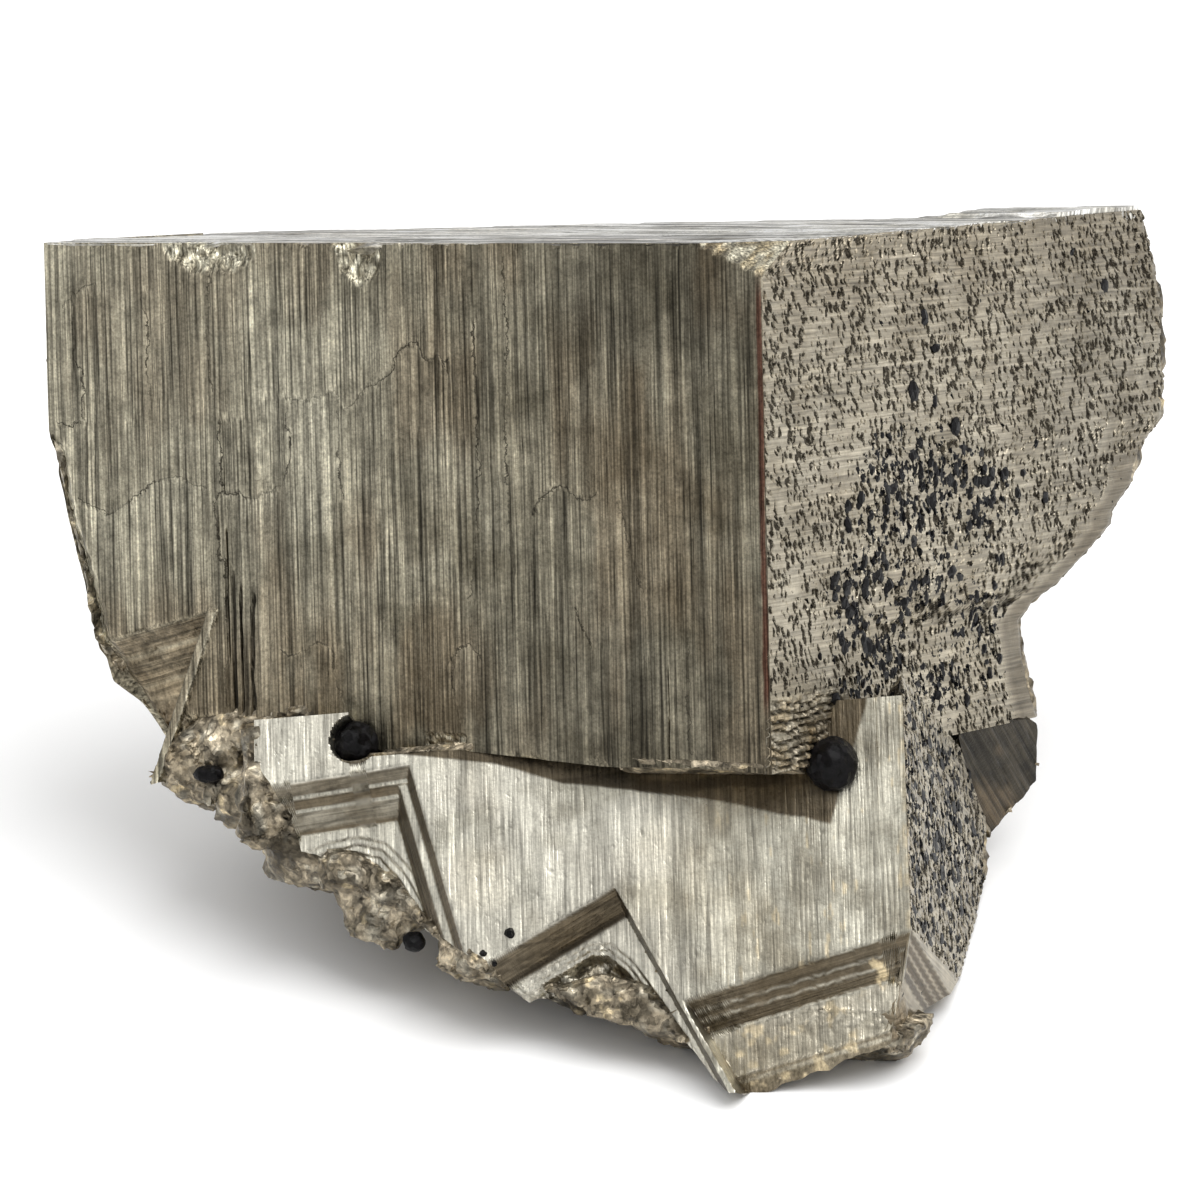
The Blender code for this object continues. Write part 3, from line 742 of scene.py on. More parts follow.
def frontDepth(x, z):
    # The front face's depth in millimetres, and its marks.
    steps, tone, edges = frontSteps(x, z)
    depth, lines = striations(x + 3 * steps, z, 100)
    grooves = 0
    for middle, width, high, low, wave in frontGrooves:
        shift = wave * (roughRandom(z / 2.2, z * 0 + 3, 87 + int(width * 50)) - 0.5) * 2
        groove = 1 - soft(np.abs(x - middle - shift), width * 0.4, width)
        grooves = np.maximum(grooves, groove * between(z, low, high, 1.0))
    chipDepth, chipInside = bite(x, z)
    ledge, wallShade, ledgeRough = cornerLedge(x, z)
    ridgeLine = pastLine(x, z, frontValues["ledgeCorner"], frontValues["ledgeLow"])
    onRidge = between(ridgeLine, -0.9, 0.35, 0.12) * soft(-38.6 - z, 0.0, 0.6)
    leftOutline = frontValues["bottom"][8::-1]
    left = np.interp(z, [p[1] for p in leftOutline], [p[0] for p in leftOutline])
    rimWidth = 1.9 + 0.9 * roughRandom(z / 1.5, z * 0 + 7, 91)
    rim = soft(-z, 20.5, 23.5) * (1 - soft(x - left, 0.0, rimWidth)) * (1 - onRidge) * soft(-66.5 - x, 0, 1)
    lowRough = soft(-z, 49.5, 51.5) * soft(-66 - x, 0, 2) * (1 - onRidge) * (1 - soft(ledge, 0.1, 0.4))
    plain = (1 - chipInside) * (1 - soft(ledge, 0.02, 0.2)) * (1 - rim) * (1 - lowRough)
    edgeNicks = (1 - soft(-z, 0.0, 0.5)) * soft(roughRandom(x / 1.1, x * 0 + 4, 92), 0.5, 0.75) * 0.25
    lowNicks = (1 - soft(z + 53.3, 0.0, 1.2)) * soft(roughRandom(x / 1.8, z / 1.0, 93), 0.5, 0.75) * 0.35
    depth = depth * (0.25 + 0.75 * plain) + (steps + 0.3 * grooves) * plain
    depth = depth + chipDepth + ledge + edgeNicks + lowNicks
    depth = depth + rim * (1.5 + 1.1 * (roughRandom(x / 0.8, z / 0.8, 94) - 0.5))
    depth = depth + lowRough * (0.8 + 1.8 * (roughRandom(x / 1.1, z / 1.1, 95) - 0.5))
    depth = depth - onRidge * 0.9
    lowChip = between(x, -41.6, -36.5, 0.3) * soft(-z, 50.6, 51.1)
    depth = depth + lowChip * 0.9 * roughRandom(x / 0.6, z / 0.6, 96)
    chip = nearChip(x, z)
    onChip = soft(chip - depth, 0.0, 0.25)
    depth = np.maximum(depth, chip)
    depth = np.maximum(depth, -0.3)
    pale = soft(roughRandom(x / 0.7, z / 0.6, 97), 0.42, 0.66)
    freshAndSheen = chipInside * (0.05 + 0.8 * pale) + rim * 0.45 * (0.3 + pale)
    freshAndSheen = freshAndSheen + onChip * (0.05 + 0.55 * pale) + lowChip * 0.4 * pale
    freshAndSheen = freshAndSheen + onRidge * 0.1 + lowRough * 0.12 * pale
    freshAndSheen = freshAndSheen + 0.25 * between(ridgeLine, -0.95, -0.65, 0.1) * soft(-38.6 - z, 0, 1)
    upperLeft = soft(-x, 26, 66) * soft(z, -48, -18)
    clouds = soft(roughRandom(x / 8, z / 11, 98), 0.42, 0.7)
    silver = soft(roughRandom(x / 6, z / 9, 66), 0.5, 0.66) * between(x, -66, -30, 6) * between(z, -36, -8, 5)
    freshAndSheen = freshAndSheen + plain * (0.06 * clouds + 0.2 * upperLeft + 0.14 * silver + np.clip(tone, 0, 1))
    dark = np.maximum(lines * plain * 0.8, grooves * 0.9 * plain)
    dark = np.maximum(dark, np.clip(-tone, 0, 1) * plain)
    shade = 0.16 * soft(-z, 30, 44) * soft(x, -50, -20)
    shade = shade + 0.3 * between(x, -24, -1.0, 3) * (1 - soft(-z, 8, 15))
    shade = shade + 0.14 * soft(x, -45, -15) + 0.16 * soft(-z, 34, 50) * soft(x, -70, -40)
    dark = np.maximum(dark, np.clip(shade * plain, 0, 1))
    fromRed = np.abs(x + 0.42 + 0.3 * (roughRandom(z / 2, z * 0, 67) - 0.5))
    redLine = (1 - soft(fromRed, 0.25, 0.42)) * between(z, -47, -4, 2)
    # Painted shade: the corner ledge's walls umber.
    umberAndShade = np.clip(wallShade * 0.75 + lowRough * 0.35 + ledgeRough * 0.2, 0, 1)
    umberAndShade = np.maximum(umberAndShade, plain * 0.5 * soft(roughRandom(x / 6, z / 15, 99), 0.45, 0.7))
    # Painted shade: the corner ledge's walls darker.
    dark = np.maximum(dark * (1 - redLine), 0.25 * wallShade)
    edges["edgeNear"] = edges["edgeNear"] * plain
    return depth, {"freshAndSheen": np.clip(freshAndSheen, 0, 1), "dark": np.clip(dark, 0, 1), "umberAndShade": umberAndShade,
                   "wall": soft(ledge, 0.1, 0.4), "rust": 0.9 * redLine,
                   "gold": np.clip(onChip * 0.3 * (1 - pale), 0, 1), **edges}


def makeFront():
    # Columns from left to right, rows from the top edge down to the outline, drifting sideways with the lean.
    s, t = fractions(frontValues["columns"], frontValues["rows"])
    x0 = -frontValues["width"] * (1 - s)
    bottom = np.interp(x0, *zip(*frontValues["bottom"]))
    t = np.interp(t, [0, 0.4, 1], [0, 0.62, 1])
    z = bottom * t
    x = x0 - frontValues["lean"] * z * (1 - s) * s * 2
    depth, marks = frontDepth(x, z)
    return crystalFace("blockFront", blockFrame, (0, 0, 0), ((1, 0, 0), (0, 0, 1), (0, 1, 0)), x, z,
                       depth, marks, frontMaterial)


# Large crystal, right face

rightValues = {
    "columns": 369, "rows": 249,
    "far": [(-53.5, 57.9), (-50.5, 56.5), (-47.1, 55.0), (-44.9, 54.6), (-42.7, 54.0), (-40.9, 57.3),
            (-39.5, 62.9), (-36.8, 69.6), (-34.1, 75.6), (-32.7, 75.9), (-30.0, 80.6), (-28.1, 81.6),
            (-26.3, 83.1), (-24.6, 85.8), (-23.1, 88.6), (-20.6, 88.9), (-10.6, 88.7), (-6.9, 87.6),
            (-4.0, 86.2), (0.0, 84.0)],
}


def rightDepth(y, z):
    # The right face's depth in millimetres, and its marks: pits, lines along y, the brick-like patch
    # and painted shade towards its far end.
    depth, lines = striations(z, y, 200, 0.7)
    edge = np.interp(z, *zip(*rightValues["far"])) - y
    strip = (1 - soft(edge, 3.5, 6.5)) * soft(-z, 26, 30)
    bent = y + 0.9 * roughRandom(y / 1.5, z / 1.5, 210) + 0.25 * z
    pits = pitField(bent, z, 211, (1.0, 1.25), 0.66, 0.37)
    finePits = pitField(bent * 1.1 + 5, z + 0.3 * roughRandom(y, z, 212), 213, (0.62, 0.85), 0.5, 0.4)
    bare = soft(roughRandom(y / 5, z / 4, 214), 0.58, 0.72)
    field = np.maximum(pits, 0.8 * finePits) - 0.35 * bare - 2 * strip
    deep = soft(field, 0.0, 0.4)
    rim = np.clip(soft(field, -0.5, -0.05) - soft(field, -0.05, 0.2), 0, 1)
    depth = depth + 0.3 * deep - 0.05 * rim
    crowd = np.zeros(np.shape(y))
    for middle, height, wide, tall in grainValues["clusters"]:
        crowd = np.maximum(crowd, np.exp(-(((y - middle) / wide) ** 2 + ((z - height) / tall) ** 2) / 1.6))
    crowd = crowd * (1 - strip)
    brickZone = between(y, -1, 14.8, 0.6) * soft(-z, 45.6, 47.2)
    rowsUp = (z + 1.6 * roughRandom(y / 2.6, z / 2.6, 223)) / 0.9
    rowIndex = np.floor(rowsUp)
    inRow = rowsUp - rowIndex
    shift = np.random.RandomState(215).rand(256)[rowIndex.astype(int) & 255] * 3
    column = (y + shift + 1.2 * smoothRandom(y / 2.2, rowIndex, 224)) / 2.2
    inColumn = column - np.floor(column)
    mortar = np.maximum(1 - soft(np.minimum(inRow, 1 - inRow), 0.1, 0.24),
                        1 - soft(np.minimum(inColumn, 1 - inColumn), 0.05, 0.12))
    bricks = 0.45 * mortar + 0.25 * roughRandom(y / 2, z / 2, 216)
    depth = depth * (1 - 0.7 * brickZone) + brickZone * bricks
    farRough = 1 - soft(edge, 0.0, 0.9 + 0.8 * roughRandom(z / 1.5, z * 0, 217))
    depth = depth + farRough * 0.5 * roughRandom(y / 0.8, z / 0.8, 218)
    nearEdge = 1 - soft(y, 0.0, 0.5)
    depth = depth + nearEdge * 0.1 * roughRandom(z / 0.7, z * 0, 219)
    dark = np.maximum(brickZone * mortar * (0.35 + 0.5 * roughRandom(y / 2, z / 2, 225)), lines * 0.35)
    dark = np.maximum(dark, 0.42 * strip)
    # Painted shade: darker towards the far end of the face.
    dark = np.maximum(dark, 0.24 * soft(y, 40, 74))
    freshAndSheen = rim * 0.12 + brickZone * (1 - mortar) * 0.4 * roughRandom(y / 1.5, z / 1.5, 220)
    gold = brickZone * (1 - mortar) * soft(roughRandom(y / 3, z / 2, 221), 0.45, 0.7) * 0.35
    browner = between(y, 5, 18, 2) * soft(-z, 46, 49) * 0.75
    upper = 0.3 * soft(z, -16, -2) + 0.25 * soft(roughRandom(y / 14, z / 9, 222), 0.5, 0.8)
    umberAndShade = np.maximum(browner * (1 - mortar * 0.5), 0.8 * upper + 0.35 * strip)
    return depth, {"freshAndSheen": np.clip(freshAndSheen, 0, 0.29), "dark": np.clip(dark, 0, 1), "gold": gold,
                   "crowd": crowd, "pit": np.clip(field - 2 * brickZone, -1, 1),
                   "umberAndShade": np.clip(umberAndShade, 0, 1)}


def makeRight():
    # Rows run from the chip's edge in front to the outline behind, at even heights.
    s, t = fractions(rightValues["columns"], rightValues["rows"])
    z = -placeValues["blockHeight"] * t
    near = np.maximum(0.0, chipPlane(0.0, z))
    far = np.interp(z, *zip(*rightValues["far"])) + 0.5 * (roughRandom(z / 1.4, z * 0, 230) - 0.5)
    y = near + s * (far - near)
    depth, marks = rightDepth(y, z)
    return crystalFace("blockRight", blockFrame, (0, 0, 0), ((0, 1, 0), (0, 0, 1), (-1, 0, 0)), y, z,
                       depth, marks, rightMaterial, inset=(5, 5))


# Large crystal, top and left faces

topValues = {
    "columns": 65, "rows": 321, "far": 83.4,
    "left": [(0.0, -87.9), (12.0, -88.2), (24.6, -84.5), (62.0, -24.6), (83.4, -5.2)],
}


def topDepth(x, y):
    # The top face's depth: long lines along x, wide layers, and a raised flake at the far end.
    depth, lines = striations(y, x, 300, 1.1)
    wide = roughRandom(y / 6, x / 60, 301) * 4
    level = np.floor(wide)
    depth = depth + 0.07 * (level + soft(wide - level, 0.4, 0.6)) - 0.15
    flake = soft(y - 62 - 5 * roughRandom(x / 6, y / 6, 302), 0, 1.2) * soft(x, -16, -14)
    depth = depth - 0.55 * flake
    tears = soft(roughRandom(y / 1.6, x / 26, 303), 0.55, 0.66)
    dark = np.clip(np.maximum(lines * 0.9, tears * 0.75), 0, 1)
    depth = np.maximum(depth + 0.08 * tears, -0.7)
    return depth, {"dark": dark, "freshAndSheen": 0.3 * soft(roughRandom(y / 5, x / 40, 304), 0.4, 0.7),
                   "umberAndShade": 0.4 * soft(roughRandom(y / 9, x / 25, 305), 0.5, 0.75)}


def makeTop():
    # Rows run along x from the left outline to x = 0, from the chipped front edge to the far one.
    s, t = fractions(topValues["columns"], topValues["rows"])
    x0 = np.interp(topValues["far"] * t, *zip(*topValues["left"])) * (1 - s)
    near = np.maximum(bite(x0, x0 * 0)[0] * 0.9, cornerChip["onTop"] * (x0 + cornerChip["reach"]))
    y = near + (topValues["far"] - near) * t
    x = np.interp(y, *zip(*topValues["left"])) * (1 - s)
    depth, marks = topDepth(x, y)
    return crystalFace("blockTop", blockFrame, (0, 0, 0), ((1, 0, 0), (0, 1, 0), (0, 0, -1)), x, y,
                       depth, marks, topMaterial, inset=(6, 1))


leftValues = {"columns": 49, "rows": 217, "high": 0.0, "low": -53.0}


def leftDepth(y, z):
    # The left face's depth: the farthest in of its four planes, with lines along y.
    lines, dark = striations(z, y, 400, 1.0)
    planes = [-0.2 - 0.2526 * (z + 24), 0.2 + 0.292 * (y - 12), 1.1 - 0.93 * y - 0.25 * (z + 24),
              7.0 - 0.831 * (z + 48.7)]
    depth = np.zeros(np.shape(y))
    for plane in planes:
        depth = np.maximum(depth, plane)
    depth = depth + lines + 0.5 * (roughRandom(y / 6, z / 6, 401) - 0.5) * soft(-z, 22, 30)
    return depth, {"dark": dark * 0.6, "freshAndSheen": 0.15 * soft(roughRandom(y / 3, z / 3, 402), 0.5, 0.7),
                   "umberAndShade": 0.5 * soft(roughRandom(y / 8, z / 8, 403), 0.4, 0.7)}


def makeLeft():
    # Rows run from the corner ledge's edge in front to the end of the left planes, from high to low.
    s, t = fractions(leftValues["columns"], leftValues["rows"])
    z = leftValues["high"] + (leftValues["low"] - leftValues["high"]) * t
    ledge = np.interp(z, [-53, -49.5, -47, -44.5, -42], [5.0, 4.8, 2.6, 2.5, 0.0])
    start = 0.15 + np.maximum(ledge, 1.5 * soft(-z, 20.5, 23.5))
    y = start + s * (24.35 + 0.5 * np.clip(-0.25 * (z + 24), 0, None) - start)
    depth, marks = leftDepth(y, z)
    origin = (-frontValues["width"], 0, 0)
    return crystalFace("blockLeft", blockFrame, origin, ((0, 1, 0), (0, 0, 1), (1, 0, 0)), y, z,
                       depth, marks, frontMaterial, inset=(6, 4))


# Lower crystal, front face

lowerValues = {
    "columns": 345, "rows": 169, "left": -60.6, "right": 8.2,
    "top": [(-60.6, 9.4), (-50.4, 9.4), (-48.6, 4.5), (-31.8, 4.5), (-30.2, 6.5), (8.2, 6.5)],
    "bottom": [(-60.6, 4.6), (-59.0, 2.6), (-57.4, -1.5), (-56.8, -4.2), (-51.0, -5.4), (-46.5, -8.6),
               (-43.6, -13.2), (-40.2, -15.6), (-36.4, -18.5), (-32.8, -21.8), (-29.5, -21.2), (-25.0, -20.4),
               (-20.5, -21.6),
               (-16.4, -26.6), (-13.2, -31.4), (-11.0, -33.4), (-9.4, -33.0), (4.9, -28.6), (6.0, -24.0),
               (6.5, -21.4), (6.7, -20.6), (7.3, -19.6), (7.7, -18.7), (8.2, -18.1)],
    "leftLedge": [(-55.2, 2.7), (-43.9, 3.6), (-39.1, -14.0)],
    "middleLedge": [(-33.9, -17.0), (-22.5, -11.1), (-11.2, -33.1)],
    "footLedge": [(-15.7, -23.5), (8.2, -18.0)],
    "leftDrape": [(-57.6, -4.4), (-54.0, -3.0), (-50.7, -2.6), (-47.6, -3.6), (-45.2, -6.2), (-43.0, -10.0),
                  (-41.6, -14.5)],
    "middleArc": [(-33, -19.6), (-29, -17.6), (-26, -16.2), (-23.5, -16.3), (-21.3, -18.2), (-19, -21.6),
                  (-17, -24.6), (-15.2, -27.5), (-13, -31.5)],
    "shadeBand": [(-46.3, 4.6), (-35.1, 2.6), (-27.7, -0.1), (-13.0, -2.8), (0.4, -6.5), (4.5, 5.8),
                  (4.8, 9.0)],
}


def leftStairs(h, v, ripple):
    # The left ledge: the shallower of a stair under its top edge and one beside its right edge, then a floor
    # with draped layers that breaks up. Returns the depth and how far each point is in each of its parts.
    a, b, c = lowerValues["leftLedge"]
    past, beside = pastLine(h, v, a, b) + ripple, pastLine(h, v, b, c) + ripple
    topStair = np.interp(past, [0, 0.22, 1.45, 1.75, 1.95, 2.7, 2.95, 4.8, 5.1],
                         [0, 0.05, 1.2, 1.24, 1.6, 2.2, 2.26, 3.8, 4.1])
    sideStair = np.interp(beside, [0, 0.15, 1.2, 2.1, 3.6, 3.9], [0, 0.1, 1.5, 1.6, 3.9, 4.1])
    first = np.minimum(topStair, sideStair)
    topWins = topStair < sideStair
    wallOne = np.where(topWins, 1 - between(past, 1.45, 1.8, 0.08) - between(past, 2.7, 3.0, 0.08),
                       1 - between(beside, 1.25, 2.05, 0.1)) * between(first, 0.1, 4.0, 0.05)
    steel = np.where(topWins, between(past, 3.0, 4.6, 0.2) + 0.5 * between(past, 0.4, 1.4, 0.2), 0)
    onFloor = soft(first, 3.95, 4.1)
    drape = sideOf(h, v, lowerValues["leftDrape"]) + 0.25 * (roughRandom(h / 2.5, v / 2.5, 502) - 0.5)
    layers = sum(0.3 * soft(drape, 0.15 + 0.75 * k, 0.5 + 0.75 * k) for k in range(4))
    layerLines = sum(between(drape, 0.15 + 0.75 * k, 0.45 + 0.75 * k, 0.08) for k in range(4))
    roughOne = soft(drape, 3.0, 4.4)
    crumbs = 0.5 + 1.8 * (roughRandom(h / 1.2, v / 1.2, 503) - 0.5)
    first = first + onFloor * (layers + roughOne * crumbs)
    return first, wallOne, steel, onFloor, layerLines, roughOne


def middleStairs(h, v, ripple):
    # The middle ledge: a steep stair along two edges, then a floor with curved layers that breaks up.
    # Returns the depth and how far each point is in each of its parts.
    a, b, c = lowerValues["middleLedge"]
    past, beside = pastLine(h, v, a, b) + ripple, pastLine(h, v, b, c) + ripple
    topTwo = np.interp(past, [0, 0.15, 2.2, 2.4, 3.0], [0, 0.1, 2.45, 2.75, 2.9])
    sideTwo = np.interp(beside, [0, 0.1, 0.75], [0, 0.3, 2.9])
    second = np.minimum(topTwo, sideTwo)
    wallTwo = between(second, 0.08, 2.85, 0.04)
    # Where a painted shadow lies, in the inner corner at the foot of the wall under the top edge.
    creaseShadowTwo = between(past, 2.2, 2.6, 0.1) * (topTwo < sideTwo)
    floorTwo = soft(second, 2.8, 2.9)
    arc = sideOf(h, v, lowerValues["middleArc"]) + 0.2 * (roughRandom(h / 2, v / 2, 504) - 0.5)
    layersTwo = sum(0.28 * soft(arc, 0.1 + 0.6 * k, 0.4 + 0.6 * k) for k in range(3))
    linesTwo = sum(between(arc, 0.1 + 0.6 * k, 0.36 + 0.6 * k, 0.07) for k in range(3))
    roughTwo = soft(arc, 1.2, 2.0)
    crumbs = 0.6 + 1.8 * (roughRandom(h / 1.1, v / 1.1, 505) - 0.5)
    second = second + floorTwo * (layersTwo + roughTwo * crumbs)
    return second, wallTwo, creaseShadowTwo, floorTwo, linesTwo, roughTwo


def footStairs(h, v, ripple):
    # The foot ledge: a stair under its edge, right of the middle ledge, with small steps on its floor.
    # Returns the depth, its wall, the distance past its edge, where it lies, and fine lines along it.
    a, b = lowerValues["footLedge"]
    past = pastLine(h, v, a, b) + ripple
    inFoot = soft(pastLine(h, v, (-9.9, -34.0), (-16.2, -22.6)), -0.1, 0.35)
    topThree = np.interp(past, [0, 0.2, 1.3, 1.5, 2.2, 2.4, 3.4, 3.6, 8.4, 8.7, 11.0],
                         [0, 0.1, 1.3, 1.32, 2.1, 2.15, 3.5, 3.6, 3.75, 4.0, 5.6])
    third = topThree * inFoot
    fineLines = smoothRandom(past / 0.28, h / 18, 506)
    treads = 0.5 * between(past, 1.3, 1.5, 0.05) + 0.5 * between(past, 2.2, 2.4, 0.05)
    wallThree = inFoot * between(past, 0.15, 3.5, 0.08) * (1 - treads)
    floorThree = inFoot * between(past, 3.6, 8.4, 0.1)
    fish = pastLine(h, v, (-6.5, -24.4), (6.2, -25.6))
    fishSteps = between(fish, -0.1, 1.6, 0.05) * (0.5 + 0.5 * np.sign(np.sin((h + 1.4 * fish) * 2.6)))
    third = third + floorThree * (0.16 * soft(fish, 0, 0.2) - 0.1 * fishSteps * soft(h, -7, -5))
    third = third + inFoot * soft(past, 3.5, 3.7) * 0.25 * (roughRandom(h / 1.6, v / 1.6, 507) - 0.5)
    return third, wallThree, past, inFoot, fineLines


def lowerDepth(h, v):
    # The lower face's depth: growth lines, and three ledges, each a stair over the distance past its edge.
    depth, lines = striations(h, v, 500, 0.8)
    ripple = 0.05 * (roughRandom(h / 1.7, v / 1.7, 501) - 0.5)
    first, wallOne, steel, onFloor, layerLines, roughOne = leftStairs(h, v, ripple)
    second, wallTwo, creaseShadowTwo, floorTwo, linesTwo, roughTwo = middleStairs(h, v, ripple)
    third, wallThree, past, inFoot, fineLines = footStairs(h, v, ripple)
    walls = np.clip(wallOne, 0, 1) + wallTwo + wallThree
    step = np.maximum(np.maximum(first, second), third)
    flat = 1 - soft(step, 0.05, 0.3)
    depth = depth * (0.3 + 0.7 * flat) + step + 0.04 * np.clip(walls, 0, 1) * (fineLines - 0.5)
    ball = lowerFrame.inverted() @ (blockFrame @ Vector(gemValues["gems"][0][2]))
    ballAway = np.hypot(h - ball.x - 0.6, v - ball.z)
    seat = np.interp(ballAway, [0, 2.0, 2.35, 2.75], [ball.y + 2.7, ball.y + 1.4, ball.y + 0.2, -1.0])
    depth = np.maximum(depth, seat)
    # Painted shade: a dark brown band on the lower face under the large crystal's overhang, standing for the
    # crystal's dark underside mirrored there.
    overhangShade = sideOf(h, v, lowerValues["shadeBand"])
    overhangShade = -overhangShade + 0.25 * (roughRandom(h / 2.4, v / 2.4, 508) - 0.5)
    overhangShade = soft(overhangShade, 0.0, 0.3) * soft(h, -47, -45) * flat
    nicks = soft(roughRandom(h / 0.5, v / 0.7, 509), 0.7, 0.8) * flat
    depth = depth + 0.03 * nicks
    flecks = soft(roughRandom(h / 0.45, v / 2.6, 510), 0.7, 0.78) * soft(h, -16, -4) * flat
    rightEdge = (1 - soft(8.2 - h, 0.1, 0.7)) * soft(roughRandom(v / 1.3, v * 0, 511), 0.4, 0.7)
    rough = np.maximum(onFloor * roughOne * (first > third), floorTwo * roughTwo * (second > third))
    patch = soft(-48.0 - h, 0, 4.0) * flat
    goldFloor = inFoot * soft(past, 3.4, 3.9)
    # Painted shade: the ledge walls dark umber.
    umberAndShade = np.clip(walls * 0.93, 0, 1) * (1 - 0.35 * np.clip(steel, 0, 1))
    umberAndShade = umberAndShade + 0.93 * overhangShade + 0.5 * rough + 0.4 * goldFloor
    umberAndShade = umberAndShade + 0.45 * inFoot * soft(past, 8.4, 8.7) * (1 - between(past, 8.9, 9.2, 0.1))
    floorLines = np.clip(layerLines * onFloor + linesTwo * floorTwo, 0, 1)
    umberAndShade = np.maximum(umberAndShade, 0.5 * between(step, 0.02, 9) * floorLines)
    warm = soft(roughRandom(h / 9, v / 9, 512), 0.5, 0.75) * 0.3 * flat
    gold = flecks * 0.5 + rightEdge * 0.4
    gold = gold + goldFloor * (0.1 + 0.5 * soft(roughRandom(h / 1.2, v / 1.2, 513), 0.62, 0.75))
    chipAt = np.hypot(h - 4.4, (v + 21.8) * 0.9) + 2.2 * (roughRandom(h / 0.8, v / 0.8, 517) - 0.4)
    gold = gold + 0.8 * (1 - soft(chipAt, 0.7, 1.2)) * inFoot + warm * 0.4
    dark = np.maximum(lines * 0.45 * flat, nicks * 0.25)
    # Painted shadow: a dark line in the middle ledge's inner corner.
    dark = np.maximum(dark, 0.85 * creaseShadowTwo)
    dark = np.maximum(dark, 0.55 * overhangShade * soft(roughRandom(h / 7, v / 1.3, 514), 0.45, 0.7))
    dark = np.maximum(dark, 0.5 * wallTwo * soft(fineLines, 0.5, 0.8))
    dark = np.maximum(dark, 0.4 * np.clip(wallOne + wallThree, 0, 1) * soft(fineLines, 0.6, 0.85))
    freshAndSheen = 0.28 * patch + 0.6 * flat * soft(roughRandom(h / 8, v / 6, 515), 0.25, 0.6) * soft(-h, 10, 26)
    # Painted highlight: the smooth ledge floors and the stair treads lighter than the walls.
    freshAndSheen = freshAndSheen + 0.2 * floorTwo * (1 - roughTwo) + 0.2 * onFloor * (1 - roughOne)
    freshAndSheen = freshAndSheen + 0.15 * (1 - np.clip(walls, 0, 1)) * between(step, 0.4, 3.8, 0.1)
    glints = soft(roughRandom(h / 0.8, v / 0.8, 516), 0.5, 0.7)
    freshAndSheen = np.clip(freshAndSheen, 0, 0.3) + 0.25 * floorTwo * roughTwo * glints
    return depth, {"freshAndSheen": np.clip(freshAndSheen * (1 - overhangShade), 0, 1), "dark": np.clip(dark, 0, 1),
                   "umberAndShade": np.clip(umberAndShade, 0, 1), "wall": np.clip(walls, 0, 1),
                   "gold": np.clip(gold * (1 - 0.8 * overhangShade), 0, 1)}


def makeLower():
    # Columns from left to right, rows from the top outline down to the broken lower one.
    s, t = fractions(lowerValues["columns"], lowerValues["rows"])
    h = lowerValues["left"] + (lowerValues["right"] - lowerValues["left"]) * s
    top = np.interp(h, *zip(*lowerValues["top"]))
    bottom = np.interp(h, *zip(*lowerValues["bottom"])) + 0.7 * (roughRandom(h / 1.6, h * 0, 530) - 0.5)
    v = top + (bottom - top) * t
    depth, marks = lowerDepth(h, v)
    return crystalFace("lowerFront", lowerFrame, (0, 0, 0), ((1, 0, 0), (0, 0, 1), (0, 1, 0)), h, v,
                       depth, marks, lowerMaterial, inset=(6, 6))


# Lower crystal, side face

sideValues = {
    "columns": 153, "rows": 169, "top": 8.6, "bottom": -28.2,
    "far": [(-30.5, 1.5), (-26.0, 9.5), (-21.5, 19.0), (-17.0, 28.0), (-10.0, 36.6), (-3.1, 44.6),
            (0.8, 46.0), (8.6, 46.0)],
    # how far below the foot ledge's edge, and how far its stairs cut the front edge back
    "cutBack": ([0, 0.2, 1.35, 1.55, 2.25, 2.45, 3.5, 3.7, 8.6, 8.9, 11.3],
                [0, 0.1, 1.3, 1.32, 2.1, 2.15, 3.5, 3.6, 3.75, 4.0, 5.6]),
}


def sideDepth(g, v):
    # The side face's depth: pits drawn out along g, and the foot ledge's stairs running round the corner.
    depth, lines = striations(v, g, 600, 0.6)
    pits = pitField(g / 1.5 + 0.5 * roughRandom(g / 3, v / 2, 610), v + 0.3 * g, 611, (1.1, 1.05), 0.65, 0.46)
    finePits = pitField(g / 1.6, v, 612, (0.62, 0.6), 0.45, 0.45)
    above = soft(v, -18.4, -17.6)
    field = np.maximum(pits, 0.8 * finePits) - 2 * (1 - above)
    deep = soft(field, 0, 0.4)
    rim = np.clip(soft(field, -0.5, -0.05) - soft(field, -0.05, 0.2), 0, 1)
    under = -18.0 - v - 0.12 * g
    stair = np.interp(under, [0, 0.5, 0.8, 1.3, 1.6, 2.3, 2.6, 3.4, 6, 11, 13],
                      [0, 0.5, 0.55, 0.9, 0.95, 1.5, 1.5, 1.7, 2.2, 3.4, 5.0])
    depth = depth + 0.3 * deep - 0.05 * rim + stair
    steps = ((0, 0.5), (0.8, 1.3), (1.6, 2.3), (2.6, 3.4))
    walls = sum(between(under, low, high, 0.06) for low, high in steps)
    rough = soft(under, 4.5, 6.5)
    depth = depth + rough * 1.2 * (roughRandom(g / 1.2, v / 1.2, 613) - 0.3)
    # Painted shade: the stair walls darker and browner.
    dark = np.clip(0.55 * np.clip(walls, 0, 1) + lines * 0.3, 0, 1)
    umberAndShade = np.clip(0.6 * np.clip(walls, 0, 1) + 0.5 * rough + 0.25 * soft(under, 0, 0.3), 0, 1)
    return depth, {"dark": dark, "umberAndShade": umberAndShade, "freshAndSheen": 0.12 * rim, "pit": np.clip(field, -1, 1),
                   "wall": soft(under, 0.0, 0.2),
                   "crowd": above * (0.55 + 0.45 * soft(roughRandom(g / 9, v / 6, 615), 0.4, 0.7)),
                   "gold": 0.5 * (1 - soft(g, 0.2, 1.4)) * soft(roughRandom(v / 1.3, v * 0, 614), 0.45, 0.7)}


